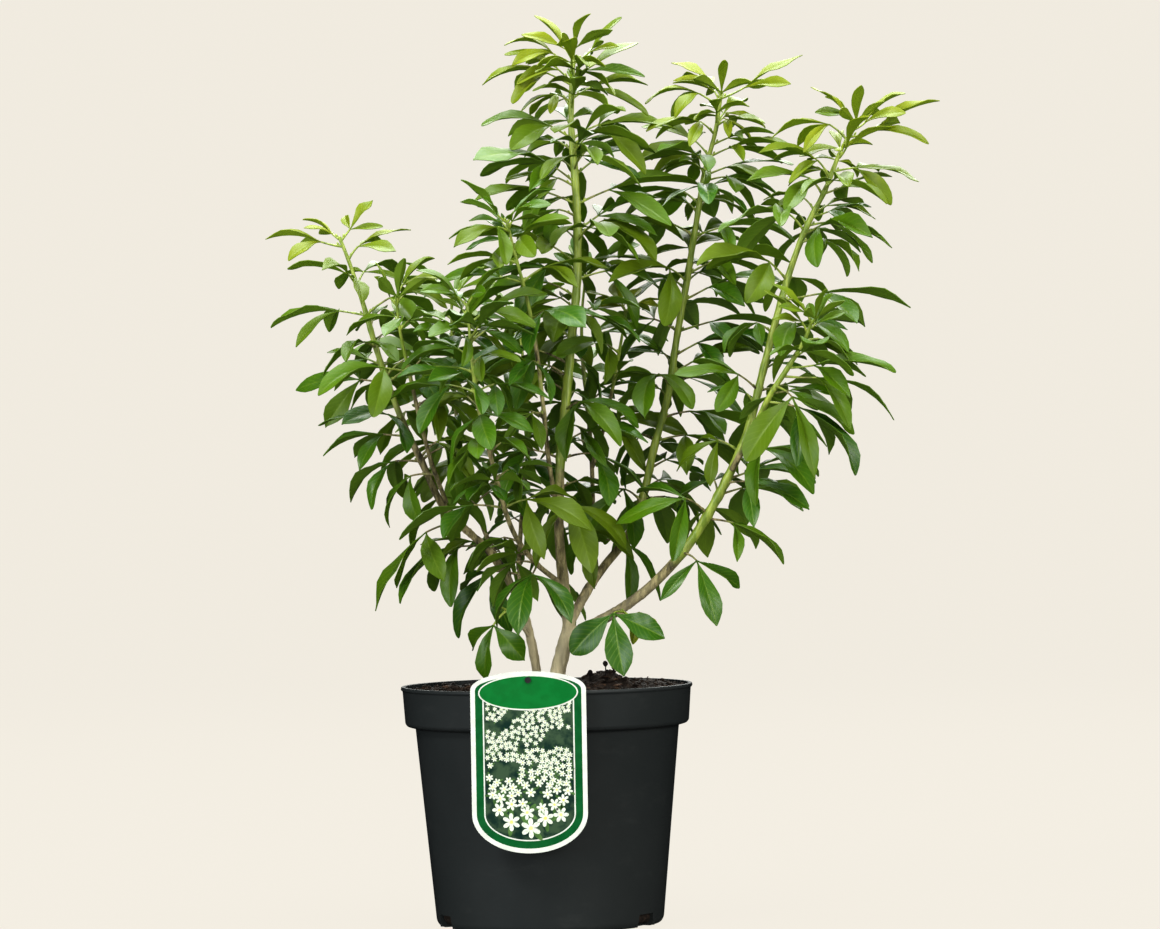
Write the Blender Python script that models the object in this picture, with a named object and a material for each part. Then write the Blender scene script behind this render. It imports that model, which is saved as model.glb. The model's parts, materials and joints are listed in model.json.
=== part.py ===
"""Potted mexican orange: a young evergreen shrub with leaves of three leaflets, in a nursery pot.

The origin is the centre of the pot's flat underside, +Z is up and the front faces -Y.
All sizes are in millimetres, and make_mesh turns them into Blender's metres.
Directions round the plant are in degrees from +X, which is to the right seen from the front.
"""
import math
import random
from typing import NamedTuple

import bmesh
import bpy
from mathutils import Matrix, Vector
from mathutils.bvhtree import BVHTree

MM = 0.001
GAP = 0.3
UP = Vector((0, 0, 1))

# Pot, turned about Z
POT_SIDES = 36
POT_HEIGHT = 155.0
LIP_RADIUS = 95.0
LIP_DEPTH = 2.0
LIP_ROUND = 0.8
BAND_TOP_RADIUS = 93.8
BAND_FOOT_RADIUS = 92.3
BAND_FOOT_Z = 130.0
BAND_ROUND = 1.2
STEP_HEIGHT = 2.0
BODY_TOP_RADIUS = 85.7
BODY_FOOT_RADIUS = 73.9
FOOT_RADIUS = 72.0
FOOT_EDGE = 3.0
WALL = 1.8
FLOOR = 2.0
NOTCH_ANGLES = (-155.6, -33.0, 88.0)
NOTCH_WIDTH = 18.5
NOTCH_SLOPE = 1.2
NOTCH_HEIGHT = 8.5
NOTCH_INNER = 66.0
NOTCH_OUTER = 80.0
POCKET_FOOT = 0.5
CUTTER_FOOT = -5.0

# Soil. A mound is (x, y, height, reach), a stalked head (x, y, top z), a bark bit (x, y, length, turn)
SOIL_LEVEL = 151.5
SOIL_SIDES = POT_SIDES // 2
SOIL_RINGS = (18, 36, 54, 70, 83)
SOIL_MOUNDS = ((38, -8, 10.5, 19), (8, 6, 3.5, 24), (-14, 12, 3.0, 20), (62, 26, 4.0, 22),
               (-58, -20, 2.0, 22))
HEADS = ((38, -14, 170.5), (43.5, -11, 168), (28, -18, 165))
HEAD_RADII = (0.7, 0.6, 1.7, 1.2)
HEAD_ROOT = 3.0
BARK = ((52, -32, 14, 30), (22, -42, 12, -20), (-42, 34, 15, 60), (60, 44, 13, 10))
SOIL_EDGE_GAP = 0.7

# Label and its clip
LABEL_X = -11.0
LABEL_BACK_Y = -96.6
LABEL_THICK = 0.8
LABEL_WIDTH = 73.0
LABEL_FOOT_Z = 53.3
LABEL_TOP_Z = 168.0
LABEL_TOP_ARC = 12.0
LABEL_FOOT_ARC = 25.0
ARC_STEPS = 14
HOLE_Z = 162.5
HOLE_RADIUS = 1.6
STUD_RADIUS = 1.2
STUD_HEAD_RADIUS = 2.0
STUD_HEAD_THICK = 0.8
CLIP_WIDTH = 8.0
CLIP_THICK = 1.0
CLIP_TOP_Z = 166.5
CLIP_FRONT_FOOT_Z = 147.0
CLIP_BACK_FOOT_Z = 142.0
CLIP_INNER_Y = -88.3
CLIP_BRIDGE = 1.2
CLIP_SLOT = 4.0

# Stems
STEM_SIDES = 5
WOOD_SIDES = 8
RING_STEP = 32.0
HOLE_LENGTH = 54.0
HOLE_CLEARANCE = 0.45

# Leaves
BLADE = 0.7
PETIOLE_WIDTH = 1.2
HUB_HALF = 0.95
SIDE_LEAFLET = 0.86
HALF_WIDTH = 0.2
STATIONS = ((0.36, 1.0), (0.72, 0.7))
SUNWARD = Vector((0, -0.4, 0.1))
MARGIN = 0.45
TRIES = 18

# The rule for the leaves of a stem. Each row is for the middle of it, what the youngest at its tip add,
# and what the oldest at its foot add. Sizes are shares of a full-grown leaflet, angles are in degrees
LIFT = (12, 44, -42)
ARCH = (40, -8, 16)
SIZE = (1.0, -0.36, 0)
STALK = (0.34, -0.14, 0)
SPREAD = (60, -12, 0)
SAG = (10, -4, 0)
YOUNG_FROM = 0.76
OLD_UNTIL = 0.5
CROWDING = 0.38

# What is drawn by chance for each leaf, and what a new try changes
LIFT_DRAW = (-10, 10)
SIZE_DRAW = (0.9, 1.1)
ARCH_DRAW = (-10, 16)
ROLL_DRAW = (-26, 26)
TURN_DRAW = (-14, 14)
TRY_TURN = 12
TRY_LOWER = 1.5
TRY_SHRINK = 0.975
LONE_TURNS = (0, 8, -8, 16, -16)


class Stem(NamedTuple):
    """A stem's route and radii, what carries it, and the rule its leaves follow.

    `wood` is the length at the foot of the route that is trunk wood, with no leaves. A stem without
    any is seated on the bark of its `parent`. `radii` are those at the foot, at the end of the wood
    and at the tip. `first` is the share of the leafy length at which the first pair stands, `turn`
    that pair's direction, and `size` the length of a full-grown middle leaflet.
    """
    route: list
    radii: tuple
    parent: str
    wood: float
    first: float
    pairs: int
    turn: float
    size: float


class Leaf(NamedTuple):
    """One leaf: where its stalk leaves the stem, its frame at the hub, and how its blades bend."""
    root: Vector
    leave: Vector
    petiole: float
    axis: Vector
    normal: Vector
    size: float
    arch: float
    spread: float
    sag: float


STEMS = {
    "leader": Stem(
        [(4, 0, 122), (5, 0, 140), (7, 0, 160), (11, 0, 177), (15, 0, 192), (14, -1, 206),
         (12, -2, 222), (10, -6, 249), (10, -8, 275), (12, -8, 307), (16, -6, 343), (20, -4, 379),
         (24, -2, 415), (25, 0, 450), (24, 0, 483), (22, 0, 522), (24, 0, 563)],
        (6.0, 3.2, 2.1), "", 126, 0.07, 13, 100, 55),
    "middle": Stem(
        [(15, 1, 194), (28, 12, 216), (39, 20, 231), (55, 26, 251), (66, 30, 279), (73, 32, 308),
         (83, 34, 343), (89, 35, 379), (96, 35, 415), (103, 34, 454), (109, 32, 487), (117, 30, 516),
         (121, 28, 541)],
        (3.5, 2.9, 1.6), "leader", 46, 0.16, 10, 60, 52),
    "right": Stem(
        [(14, 0, 186), (41, -8, 199), (65, -14, 215), (88, -20, 238), (105, -24, 262), (121, -26, 291),
         (133, -24, 318), (141, -20, 347), (150, -16, 380), (161, -12, 417), (173, -10, 448),
         (186, -10, 473), (196, -10, 497), (206, -10, 514)],
        (3.7, 3.3, 1.6), "leader", 58, 0.2, 9, 30, 51),
    "right_low": Stem(
        [(119, -26, 288), (135, -40, 317), (146, -50, 339), (159, -58, 359), (168, -64, 374),
         (173, -68, 386)],
        (1.9, 1.9, 1.4), "right", 0, 0.45, 3, 10, 48),
    "inner_right": Stem(
        [(34, 16, 224), (32, 34, 255), (32, 46, 294), (30, 54, 334), (27, 60, 367), (27, 66, 397),
         (30, 70, 424)],
        (2.0, 2.0, 1.4), "middle", 0, 0.1, 4, 40, 52),
    "inner_low": Stem(
        [(32, 46, 294), (39, 34, 317), (46, 24, 346), (52, 16, 376), (56, 12, 398)],
        (1.6, 1.6, 1.3), "inner_right", 0, 0.35, 3, 120, 46),
    "front_left": Stem(
        [(12, -2, 219), (-6, -22, 235), (-19, -36, 254), (-28, -48, 282), (-35, -56, 314),
         (-41, -62, 340), (-44, -66, 372), (-46, -68, 401)],
        (2.2, 2.2, 1.4), "leader", 0, 0.12, 6, 70, 48),
    "centre_left": Stem(
        [(10, -7, 262), (4, -24, 300), (1, -34, 336), (-3, -42, 375), (-8, -48, 404), (-15, -54, 432),
         (-20, -58, 454)],
        (1.9, 1.9, 1.4), "leader", 0, 0.15, 7, 20, 48),
    "far_left": Stem(
        [(-4, 12, 122), (-5, 12, 140), (-6, 12, 160), (-10, 12, 184), (-15, 12, 203), (-24, 12, 223),
         (-37, 11, 243), (-55, 8, 260), (-68, 8, 276), (-79, 6, 301), (-90, 4, 325), (-100, 2, 352),
         (-108, 0, 378), (-116, 0, 407), (-124, 0, 432), (-130, 0, 448)],
        (3.3, 2.5, 1.5), "", 150, 0.1, 9, 75, 49),
    "left_front": Stem(
        [(-64, 8, 271), (-72, -12, 300), (-79, -26, 330), (-85, -36, 360), (-90, -44, 386),
         (-92, -48, 408)],
        (1.9, 1.9, 1.4), "far_left", 0, 0.15, 5, 35, 52),
    "left_back": Stem(
        [(-24, 12, 223), (-40, 38, 256), (-52, 58, 295), (-58, 70, 335), (-60, 78, 375),
         (-60, 84, 412)],
        (2.0, 2.0, 1.4), "far_left", 0, 0.12, 5, 15, 52),
    "centre_back": Stem(
        [(-15, 12, 203), (-17, 40, 236), (-14, 62, 275), (-10, 78, 318), (-12, 90, 358),
         (-16, 98, 398)],
        (2.0, 2.0, 1.4), "far_left", 0, 0.12, 4, 50, 54),
    "low_right": Stem(
        [(41, -8, 199), (48, -22, 203), (53, -34, 201)],
        (1.4, 1.4, 1.1), "right", 0, 0.0, 0, 0, 44),
    "low_left": Stem(
        [(-10, 12, 184), (-20, -2, 200), (-28, -14, 206)],
        (1.3, 1.3, 1.1), "far_left", 0, 0.0, 0, 0, 32),
}

# Leaves that stand out by themselves: stem, height on it, direction, lift, size, arch and roll
LONE_LEAVES = (
    ("right", 508, 2, 42, 46, 36, 0),
    ("right", 505, 184, 16, 40, 56, 10),
    ("right", 402, -8, 10, 61, 38, -20),
    ("right_low", 352, -6, 2, 58, 62, -15),
    ("right_low", 336, -22, -22, 58, 58, -10),
    ("right_low", 346, -60, -52, 56, 30, 10),
    ("right", 262, -10, -22, 42, 36, -10),
    ("right", 240, -60, -56, 44, 30, 0),
    ("far_left", 262, 205, -36, 62, 34, 20),
    ("far_left", 258, 250, -62, 58, 26, 0),
    ("far_left", 318, 186, 6, 42, 50, 10),
    ("far_left", 442, 178, 26, 37, 44, 10),
    ("far_left", 446, 25, 56, 25, 16, 10),
    ("leader", 559, 8, 57, 31, 20, -10),
    ("leader", 557, 172, 48, 36, 72, 10),
    ("leader", 545, 184, 20, 44, 58, 5),
    ("leader", 551, 268, 40, 36, 40, 0),
    ("low_right", 202, -82, -58, 42, 26, 10),
    ("low_right", 201, -10, -20, 26, 34, 0),
    ("low_right", 203, 170, -50, 40, 30, -10),
    ("low_left", 204, 225, -60, 36, 50, 0),
    ("low_left", 203, 300, -56, 34, 40, 10),
    ("middle", 537, 8, 38, 44, 18, -15),
    ("middle", 532, 184, 26, 38, 70, 15),
)

TRUNKS = {"main_trunk": ("leader", "middle", "right"), "second_trunk": ("far_left",)}


def clear_scene():
    for item in list(bpy.data.objects):
        bpy.data.objects.remove(item, do_unlink=True)


def material(name, colour, roughness):
    made = bpy.data.materials.new(name)
    made.use_nodes = True
    shader = made.node_tree.nodes["Principled BSDF"]
    shader.inputs["Base Color"].default_value = (*colour, 1.0)
    shader.inputs["Roughness"].default_value = roughness
    shader.inputs["Metallic"].default_value = 0.0
    made.diffuse_color = (*colour, 1.0)
    return made


def make_mesh(name, shape):
    """Turns a bmesh in millimetres into a mesh in metres with its faces pointing out."""
    bmesh.ops.recalc_face_normals(shape, faces=shape.faces)
    bmesh.ops.scale(shape, vec=(MM, MM, MM), verts=shape.verts)
    mesh = bpy.data.meshes.new(name)
    shape.to_mesh(mesh)
    shape.free()
    return mesh


def add_object(name, mesh, finish=None):
    made = bpy.data.objects.new(name, mesh)
    bpy.context.scene.collection.objects.link(made)
    if finish:
        mesh.materials.append(finish)
    return made


def fuse(target, others):
    """Joins the others to the target as one body, and removes what was joined."""
    group = bpy.data.collections.new(target.name + "_joined")
    bpy.context.scene.collection.children.link(group)
    for other in others:
        bpy.context.scene.collection.objects.unlink(other)
        group.objects.link(other)
    change = target.modifiers.new("union", "BOOLEAN")
    change.operation = "UNION"
    change.operand_type = "COLLECTION"
    change.collection = group
    change.solver = "MANIFOLD"
    graph = bpy.context.evaluated_depsgraph_get()
    joined = bpy.data.meshes.new_from_object(target.evaluated_get(graph))
    target.modifiers.clear()
    target.data = joined
    for other in others:
        bpy.data.objects.remove(other, do_unlink=True)
    bpy.data.collections.remove(group)


def cut(target, mesh, operation="DIFFERENCE"):
    """Adds a Boolean that cuts the target with a hidden tool, or joins the tool to it."""
    tool = add_object(mesh.name, mesh)
    tool.hide_render = True
    tool.display_type = "WIRE"
    change = target.modifiers.new(mesh.name, "BOOLEAN")
    change.operation = operation
    change.object = tool


def turned(name, profile, sides):
    """Spins a profile of (radius, z) about Z. Its first and last points lie on the axis."""
    shape = bmesh.new()
    corners = [shape.verts.new((radius, 0, z)) for radius, z in profile]
    for first, second in zip(corners, corners[1:]):
        shape.edges.new((first, second))
    bmesh.ops.spin(shape, geom=shape.verts[:] + shape.edges[:], cent=(0, 0, 0), axis=(0, 0, 1),
                   angle=2 * math.pi, steps=sides)
    bmesh.ops.remove_doubles(shape, verts=shape.verts, dist=0.01)
    return make_mesh(name, shape)


def add_prism(shape, outline, depth, place):
    """Extrudes a flat outline of (x, z) along Y from 0 to the depth, and puts it in its place."""
    corners = [shape.verts.new((x, 0, z)) for x, z in outline]
    grown = bmesh.ops.extrude_face_region(shape, geom=[shape.faces.new(corners)])
    far = [item for item in grown["geom"] if isinstance(item, bmesh.types.BMVert)]
    bmesh.ops.translate(shape, vec=(0, depth, 0), verts=far)
    bmesh.ops.transform(shape, matrix=place, verts=corners + far)


def add_rod(shape, radius, length, place, sides=12):
    """A round bar about the Z axis of its placement, centred on it."""
    bmesh.ops.create_cone(shape, cap_ends=True, segments=sides, radius1=radius, radius2=radius,
                          depth=length, matrix=place)


def spun_place(angle, radius):
    """A placement whose Y axis points outwards at the angle, starting at the radius."""
    return Matrix.Rotation(math.radians(angle - 90), 4, "Z") @ Matrix.Translation((0, radius, 0))


def notch_blocks(name, swell, foot, outer):
    """The drain notches' trapezoids, swollen by a wall or a gap, from inside the foot to a radius."""
    shape = bmesh.new()
    top = NOTCH_HEIGHT + swell
    half_foot, half_top = [NOTCH_WIDTH / 2 + swell - NOTCH_SLOPE * z / NOTCH_HEIGHT for z in (foot, top)]
    outline = [(-half_foot, foot), (half_foot, foot), (half_top, top), (-half_top, top)]
    for angle in NOTCH_ANGLES:
        add_prism(shape, outline, outer - NOTCH_INNER + swell, spun_place(angle, NOTCH_INNER - swell))
    return make_mesh(name, shape)


def wall_profile(inset):
    """The pot's outside from the foot up to the rim, moved inwards by the inset."""
    return [(BODY_FOOT_RADIUS - inset, FOOT_EDGE + inset),
            (BODY_TOP_RADIUS - inset, BAND_FOOT_Z - STEP_HEIGHT + inset),
            (BAND_FOOT_RADIUS - inset, BAND_FOOT_Z + inset),
            (BAND_TOP_RADIUS - inset, POT_HEIGHT)]


def make_pot(finish):
    body_foot, body_top = wall_profile(0)[:2]
    outside = [(0, 0), (FOOT_RADIUS, 0), body_foot, body_top,
               (BAND_FOOT_RADIUS - BAND_ROUND, BAND_FOOT_Z - BAND_ROUND / 2),
               (BAND_FOOT_RADIUS, BAND_FOOT_Z + BAND_ROUND),
               (BAND_TOP_RADIUS, POT_HEIGHT - LIP_DEPTH - LIP_ROUND),
               (LIP_RADIUS, POT_HEIGHT - LIP_DEPTH), (LIP_RADIUS - LIP_ROUND / 2, POT_HEIGHT)]
    inner_foot, inner_top, inner_band, inner_rim = wall_profile(WALL)
    inside = [inner_rim, inner_band, inner_top, inner_foot, (FOOT_RADIUS - WALL, FLOOR), (0, FLOOR)]
    pot = add_object("pot", turned("pot", outside + inside, POT_SIDES), finish)
    cut(pot, notch_blocks("notch_pockets", WALL, POCKET_FOOT, BODY_FOOT_RADIUS - WALL / 2), "UNION")
    cut(pot, notch_blocks("notches", 0, CUTTER_FOOT, NOTCH_OUTER))


def soil_height(x, y):
    """A crumbly surface: a level with mounds, and small waves that stand for clods."""
    height = SOIL_LEVEL + 0.9 * math.sin(0.19 * x + 1) * math.cos(0.23 * y) + 0.6 * math.sin(0.41 * (x + y))
    for mound_x, mound_y, rise, reach in SOIL_MOUNDS:
        away = ((x - mound_x) ** 2 + (y - mound_y) ** 2) / reach ** 2
        height += rise * math.exp(-away)
    return height


def make_soil(finish, rooted):
    inner_foot, inner_top, inner_band = wall_profile(WALL + GAP)[:3]
    edge = BAND_TOP_RADIUS - WALL - SOIL_EDGE_GAP
    top = [(radius, SOIL_LEVEL) for radius in (edge, *reversed(SOIL_RINGS), 0)]
    foot = [(0, FLOOR + GAP), (FOOT_RADIUS - WALL - GAP, FLOOR + GAP), inner_foot, inner_top, inner_band]
    mesh = turned("soil", foot + top, SOIL_SIDES)
    for point in mesh.vertices:
        if point.co.z > (SOIL_LEVEL - 1) * MM:
            point.co.z = soil_height(point.co.x / MM, point.co.y / MM) * MM
    soil = add_object("soil", mesh, finish)
    fuse(soil, soil_growths() + bark_bits())
    cut(soil, notch_blocks("pocket_clearance", WALL + GAP, CUTTER_FOOT, NOTCH_OUTER))
    holes = bmesh.new()
    for branch in rooted:
        add_stem_hole(holes, branch)
    cut(soil, make_mesh("stem_holes", holes))
    slot = bmesh.new()
    half = CLIP_WIDTH / 2 + GAP
    foot_z = CLIP_BACK_FOOT_Z - GAP
    outline = [(-half, foot_z), (half, foot_z), (half, POT_HEIGHT), (-half, POT_HEIGHT)]
    front_y = CLIP_INNER_Y - CLIP_THICK - CLIP_SLOT
    add_prism(slot, outline, CLIP_INNER_Y + GAP - front_y, Matrix.Translation((LABEL_X, front_y, 0)))
    cut(soil, make_mesh("clip_slot", slot))


def add_stem_hole(shape, branch):
    """A plain hole a gap wider than the trunk's rings, from below its foot to above the soil."""
    marks = [mark for mark in branch.wood_marks if mark < HOLE_LENGTH]
    centres, ways = zip(*[branch.curve.at(mark) for mark in marks])
    below = centres[0] - ways[0] * GAP
    radii = [branch.radius(mark) + HOLE_CLEARANCE for mark in marks]
    add_tube(shape, (below,) + centres, (ways[0],) + ways, [radii[0]] + radii, WOOD_SIDES)


def soil_growths():
    """Three small stalked heads, wider at the top, rooted in the soil."""
    made = []
    for x, y, top in HEADS:
        foot = soil_height(x, y) - HEAD_ROOT
        centres = [Vector((x, y, z)) for z in (foot, top - 3, top - 1, top)]
        shape = bmesh.new()
        add_tube(shape, centres, [UP] * 4, HEAD_RADII, STEM_SIDES)
        made.append(add_object("head", make_mesh("head", shape)))
    return made


def bark_bits():
    """Flat chips of bark, half sunk in the soil."""
    made = []
    for x, y, length, turn in BARK:
        shape = bmesh.new()
        half = length / 2
        outline = [(-half, -1.5), (half, -2.5), (half - 2, 1.0), (-half + 1, 1.8)]
        place = Matrix.Translation((x, y, soil_height(x, y))) @ Matrix.Rotation(math.radians(turn), 4, "Z")
        add_prism(shape, outline, length * 0.4, place)
        made.append(add_object("chip", make_mesh("chip", shape)))
    return made


def label_outline():
    """Straight sides between a low arc at the top and a deeper one at the foot."""
    half = LABEL_WIDTH / 2
    top_z = LABEL_TOP_Z - LABEL_TOP_ARC
    foot_z = LABEL_FOOT_Z + LABEL_FOOT_ARC
    outline = []
    for step in range(ARC_STEPS + 1):
        angle = math.pi * step / ARC_STEPS
        outline.append((half * math.cos(angle), top_z + LABEL_TOP_ARC * math.sin(angle) ** 0.9))
    for step in range(ARC_STEPS + 1):
        angle = math.pi * (1 + step / ARC_STEPS)
        outline.append((half * math.cos(angle), foot_z + LABEL_FOOT_ARC * math.sin(angle)))
    return outline


def make_label(finish):
    shape = bmesh.new()
    place = Matrix.Translation((LABEL_X, LABEL_BACK_Y - LABEL_THICK, 0))
    add_prism(shape, label_outline(), LABEL_THICK, place)
    label = add_object("plant_label", make_mesh("plant_label", shape), finish)
    hole = bmesh.new()
    lying = Matrix.Translation((LABEL_X, LABEL_BACK_Y, HOLE_Z)) @ Matrix.Rotation(math.pi / 2, 4, "X")
    add_rod(hole, HOLE_RADIUS, 6 * LABEL_THICK, lying)
    cut(label, make_mesh("label_hole", hole))


def make_clip(finish):
    """A hook over the rim: a tongue behind the label, a bridge, and a leg between wall and soil."""
    front = LABEL_BACK_Y + GAP
    back = front + CLIP_THICK
    bridge_foot = POT_HEIGHT + GAP
    bridge_top = bridge_foot + CLIP_BRIDGE
    side = [(front, CLIP_FRONT_FOOT_Z), (back, CLIP_FRONT_FOOT_Z), (back, bridge_foot),
            (CLIP_INNER_Y - CLIP_THICK, bridge_foot), (CLIP_INNER_Y - CLIP_THICK, CLIP_BACK_FOOT_Z),
            (CLIP_INNER_Y, CLIP_BACK_FOOT_Z), (CLIP_INNER_Y, bridge_top), (back, bridge_top),
            (back, CLIP_TOP_Z), (front, CLIP_TOP_Z)]
    shape = bmesh.new()
    quarter = Matrix.Translation((LABEL_X + CLIP_WIDTH / 2, 0, 0)) @ Matrix.Rotation(math.pi / 2, 4, "Z")
    add_prism(shape, side, CLIP_WIDTH, quarter)
    clip = add_object("label_clip", make_mesh("label_clip", shape), finish)
    lying = Matrix.Rotation(math.pi / 2, 4, "X")
    head_back = LABEL_BACK_Y - LABEL_THICK - GAP
    stud = bmesh.new()
    stud_far = head_back - STUD_HEAD_THICK / 2
    stud_near = front + CLIP_THICK / 2
    add_rod(stud, STUD_RADIUS, stud_near - stud_far,
            Matrix.Translation((LABEL_X, (stud_near + stud_far) / 2, HOLE_Z)) @ lying)
    head = bmesh.new()
    add_rod(head, STUD_HEAD_RADIUS, STUD_HEAD_THICK,
            Matrix.Translation((LABEL_X, head_back - STUD_HEAD_THICK / 2, HOLE_Z)) @ lying)
    fuse(clip, [add_object(name, make_mesh(name, shape)) for name, shape in (("stud", stud), ("head", head))])


class Curve:
    """A smooth curve through a route's points, read by its length from the first one."""

    def __init__(self, route, steps=8):
        points = [Vector(point) for point in route]
        ends = [2 * points[0] - points[1]] + points + [2 * points[-1] - points[-2]]
        self.points = []
        for before, start, end, after in zip(ends, ends[1:], ends[2:], ends[3:]):
            for step in range(steps):
                t = step / steps
                bend = 2 * before - 5 * start + 4 * end - after
                twist = 3 * start - before - 3 * end + after
                self.points.append(start + ((end - before) * t + bend * t ** 2 + twist * t ** 3) / 2)
        self.points.append(points[-1])
        self.marks = [0.0]
        for first, second in zip(self.points, self.points[1:]):
            self.marks.append(self.marks[-1] + (second - first).length)
        self.length = self.marks[-1]

    def at(self, length):
        """The point at a length, and the direction there."""
        last = len(self.points) - 2
        index = next((i for i, mark in enumerate(self.marks[1:]) if mark >= length), last)
        run = self.points[index + 1] - self.points[index]
        part = (length - self.marks[index]) / run.length
        return self.points[index] + run * part, run.normalized()


def add_tube(shape, centres, ways, radii, sides, end_plane=None):
    """A closed tube of rings square to their ways. Its first end can be cut to a plane (point, normal)."""
    rings = []
    across = ways[0].orthogonal().normalized()
    for index, (centre, way, radius) in enumerate(zip(centres, ways, radii)):
        across = (across - way * across.dot(way)).normalized()
        other = way.cross(across)
        ring = []
        for side in range(sides):
            angle = 2 * math.pi * side / sides
            point = centre + (across * math.cos(angle) + other * math.sin(angle)) * radius
            if end_plane and index == 0:
                plane_point, plane_normal = end_plane
                point += way * (plane_point - point).dot(plane_normal) / way.dot(plane_normal)
            ring.append(shape.verts.new(point))
        rings.append(ring)
    for lower, upper in zip(rings, rings[1:]):
        for side in range(sides):
            after = (side + 1) % sides
            shape.faces.new((lower[side], lower[after], upper[after]))
            shape.faces.new((lower[side], upper[after], upper[side]))
    shape.faces.new(list(reversed(rings[0])))
    shape.faces.new(rings[-1])


class Branch:
    """A stem in place: the rings of its wood and of its leafy part, and its radius along it."""

    def __init__(self, stem, route=None, end_plane=None):
        self.curve = Curve(route or stem.route)
        self.radii = stem.radii
        self.wood = stem.wood
        self.leafy = stem.wood + GAP if stem.wood else 0.0
        self.end_plane = end_plane
        self.wood_marks = ring_marks(0.0, self.wood, RING_STEP / 2) if self.wood else []
        self.leafy_marks = ring_marks(self.leafy, self.curve.length, RING_STEP)

    def radius(self, length):
        foot, middle, tip = self.radii
        if length < self.wood:
            return foot + (middle - foot) * length / self.wood
        return middle + (tip - middle) * (length - self.wood) / (self.curve.length - self.wood)

    def at(self, length):
        """The point on the line through the rings at a length, and the direction there."""
        marks = self.wood_marks + self.leafy_marks
        index = max((i for i, mark in enumerate(marks[:-1]) if mark <= length), default=0)
        near, far = self.curve.at(marks[index])[0], self.curve.at(marks[index + 1])[0]
        part = (length - marks[index]) / (marks[index + 1] - marks[index])
        return near.lerp(far, part), (far - near).normalized()

    def best_length(self, badness):
        """The length, to a millimetre, at which a measure of the place there is least."""
        return min(range(int(self.curve.length)), key=lambda length: badness(self.at(length)[0]))

    def tube(self, marks, sides, swell, end_plane=None):
        shape = bmesh.new()
        centres, ways = zip(*[self.curve.at(mark) for mark in marks])
        add_tube(shape, centres, ways, [self.radius(mark) + swell for mark in marks], sides, end_plane)
        return shape

    def leafy_shape(self, swell=0.0):
        return self.tube(self.leafy_marks, STEM_SIDES, swell, self.end_plane)

    def wood_shape(self, swell=0.0):
        return self.tube(self.wood_marks, WOOD_SIDES, swell)


def ring_marks(start, stop, step):
    count = max(2, round((stop - start) / step))
    return [start + (stop - start) * i / count for i in range(count + 1)]


def seat_on(stem, parent):
    """Starts a side stem on its parent's bark, a gap clear of it and cut parallel to it."""
    foot = Vector(stem.route[0])
    length = parent.best_length(lambda place: (place - foot).length)
    centre, along = parent.at(length)
    way = (Vector(stem.route[1]) - centre).normalized()
    outward = (way - along * way.dot(along)).normalized()
    clear = parent.radius(length) + GAP
    start = centre + way * clear / way.dot(outward)
    return Branch(stem, [start] + list(stem.route[1:]), (centre + outward * clear, outward))


def grow_stems():
    """Places every stem: on its own route where it has wood, or else seated on its parent."""
    branches = {}
    for name, stem in STEMS.items():
        branches[name] = Branch(stem) if stem.wood else seat_on(stem, branches[stem.parent])
    return branches


def add_leaflet(points, faces, base, leaf, way, normal, length, swell):
    """One arched blade, on a root of four corners: right, left, and both beneath."""
    root = (points[base[0]] + points[base[1]]) / 2
    left = normal.cross(way).normalized()
    thick = BLADE + 2 * swell
    reach = length / leaf.arch

    def add(share, width, side):
        turn = leaf.arch * share
        face_up = normal * math.cos(turn) + way * math.sin(turn)
        centre = root + way * math.sin(turn) * reach - normal * (1 - math.cos(turn)) * reach
        half = HALF_WIDTH * length * width + swell
        points.append(centre + left * side * half)
        points.append(centre + left * side * half - face_up * thick)
        return len(points) - 2

    right_0, left_0, right_under, left_under = base
    below = {right_0: right_under, left_0: left_under}
    (near, near_width), (far, far_width) = STATIONS
    right_1, left_1 = add(near, near_width, -1), add(near, near_width, 1)
    right_2, left_2 = add(far, far_width, -1), add(far, far_width, 1)
    tip = add(1 + swell / length, 0, 0)
    top = [(right_0, right_1, left_1), (right_0, left_1, left_0),
           (right_1, right_2, left_2), (right_1, left_2, left_1), (right_2, tip, left_2)]
    rim = [right_0, right_1, right_2, tip, left_2, left_1, left_0]
    faces.extend(top)
    faces.extend(tuple(below.get(corner, corner + 1) for corner in reversed(face)) for face in top)
    for first, second in zip(rim, rim[1:]):
        first_under = below.get(first, first + 1)
        second_under = below.get(second, second + 1)
        faces.append((first_under, second_under, second))
        faces.append((first_under, second, first))


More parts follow.
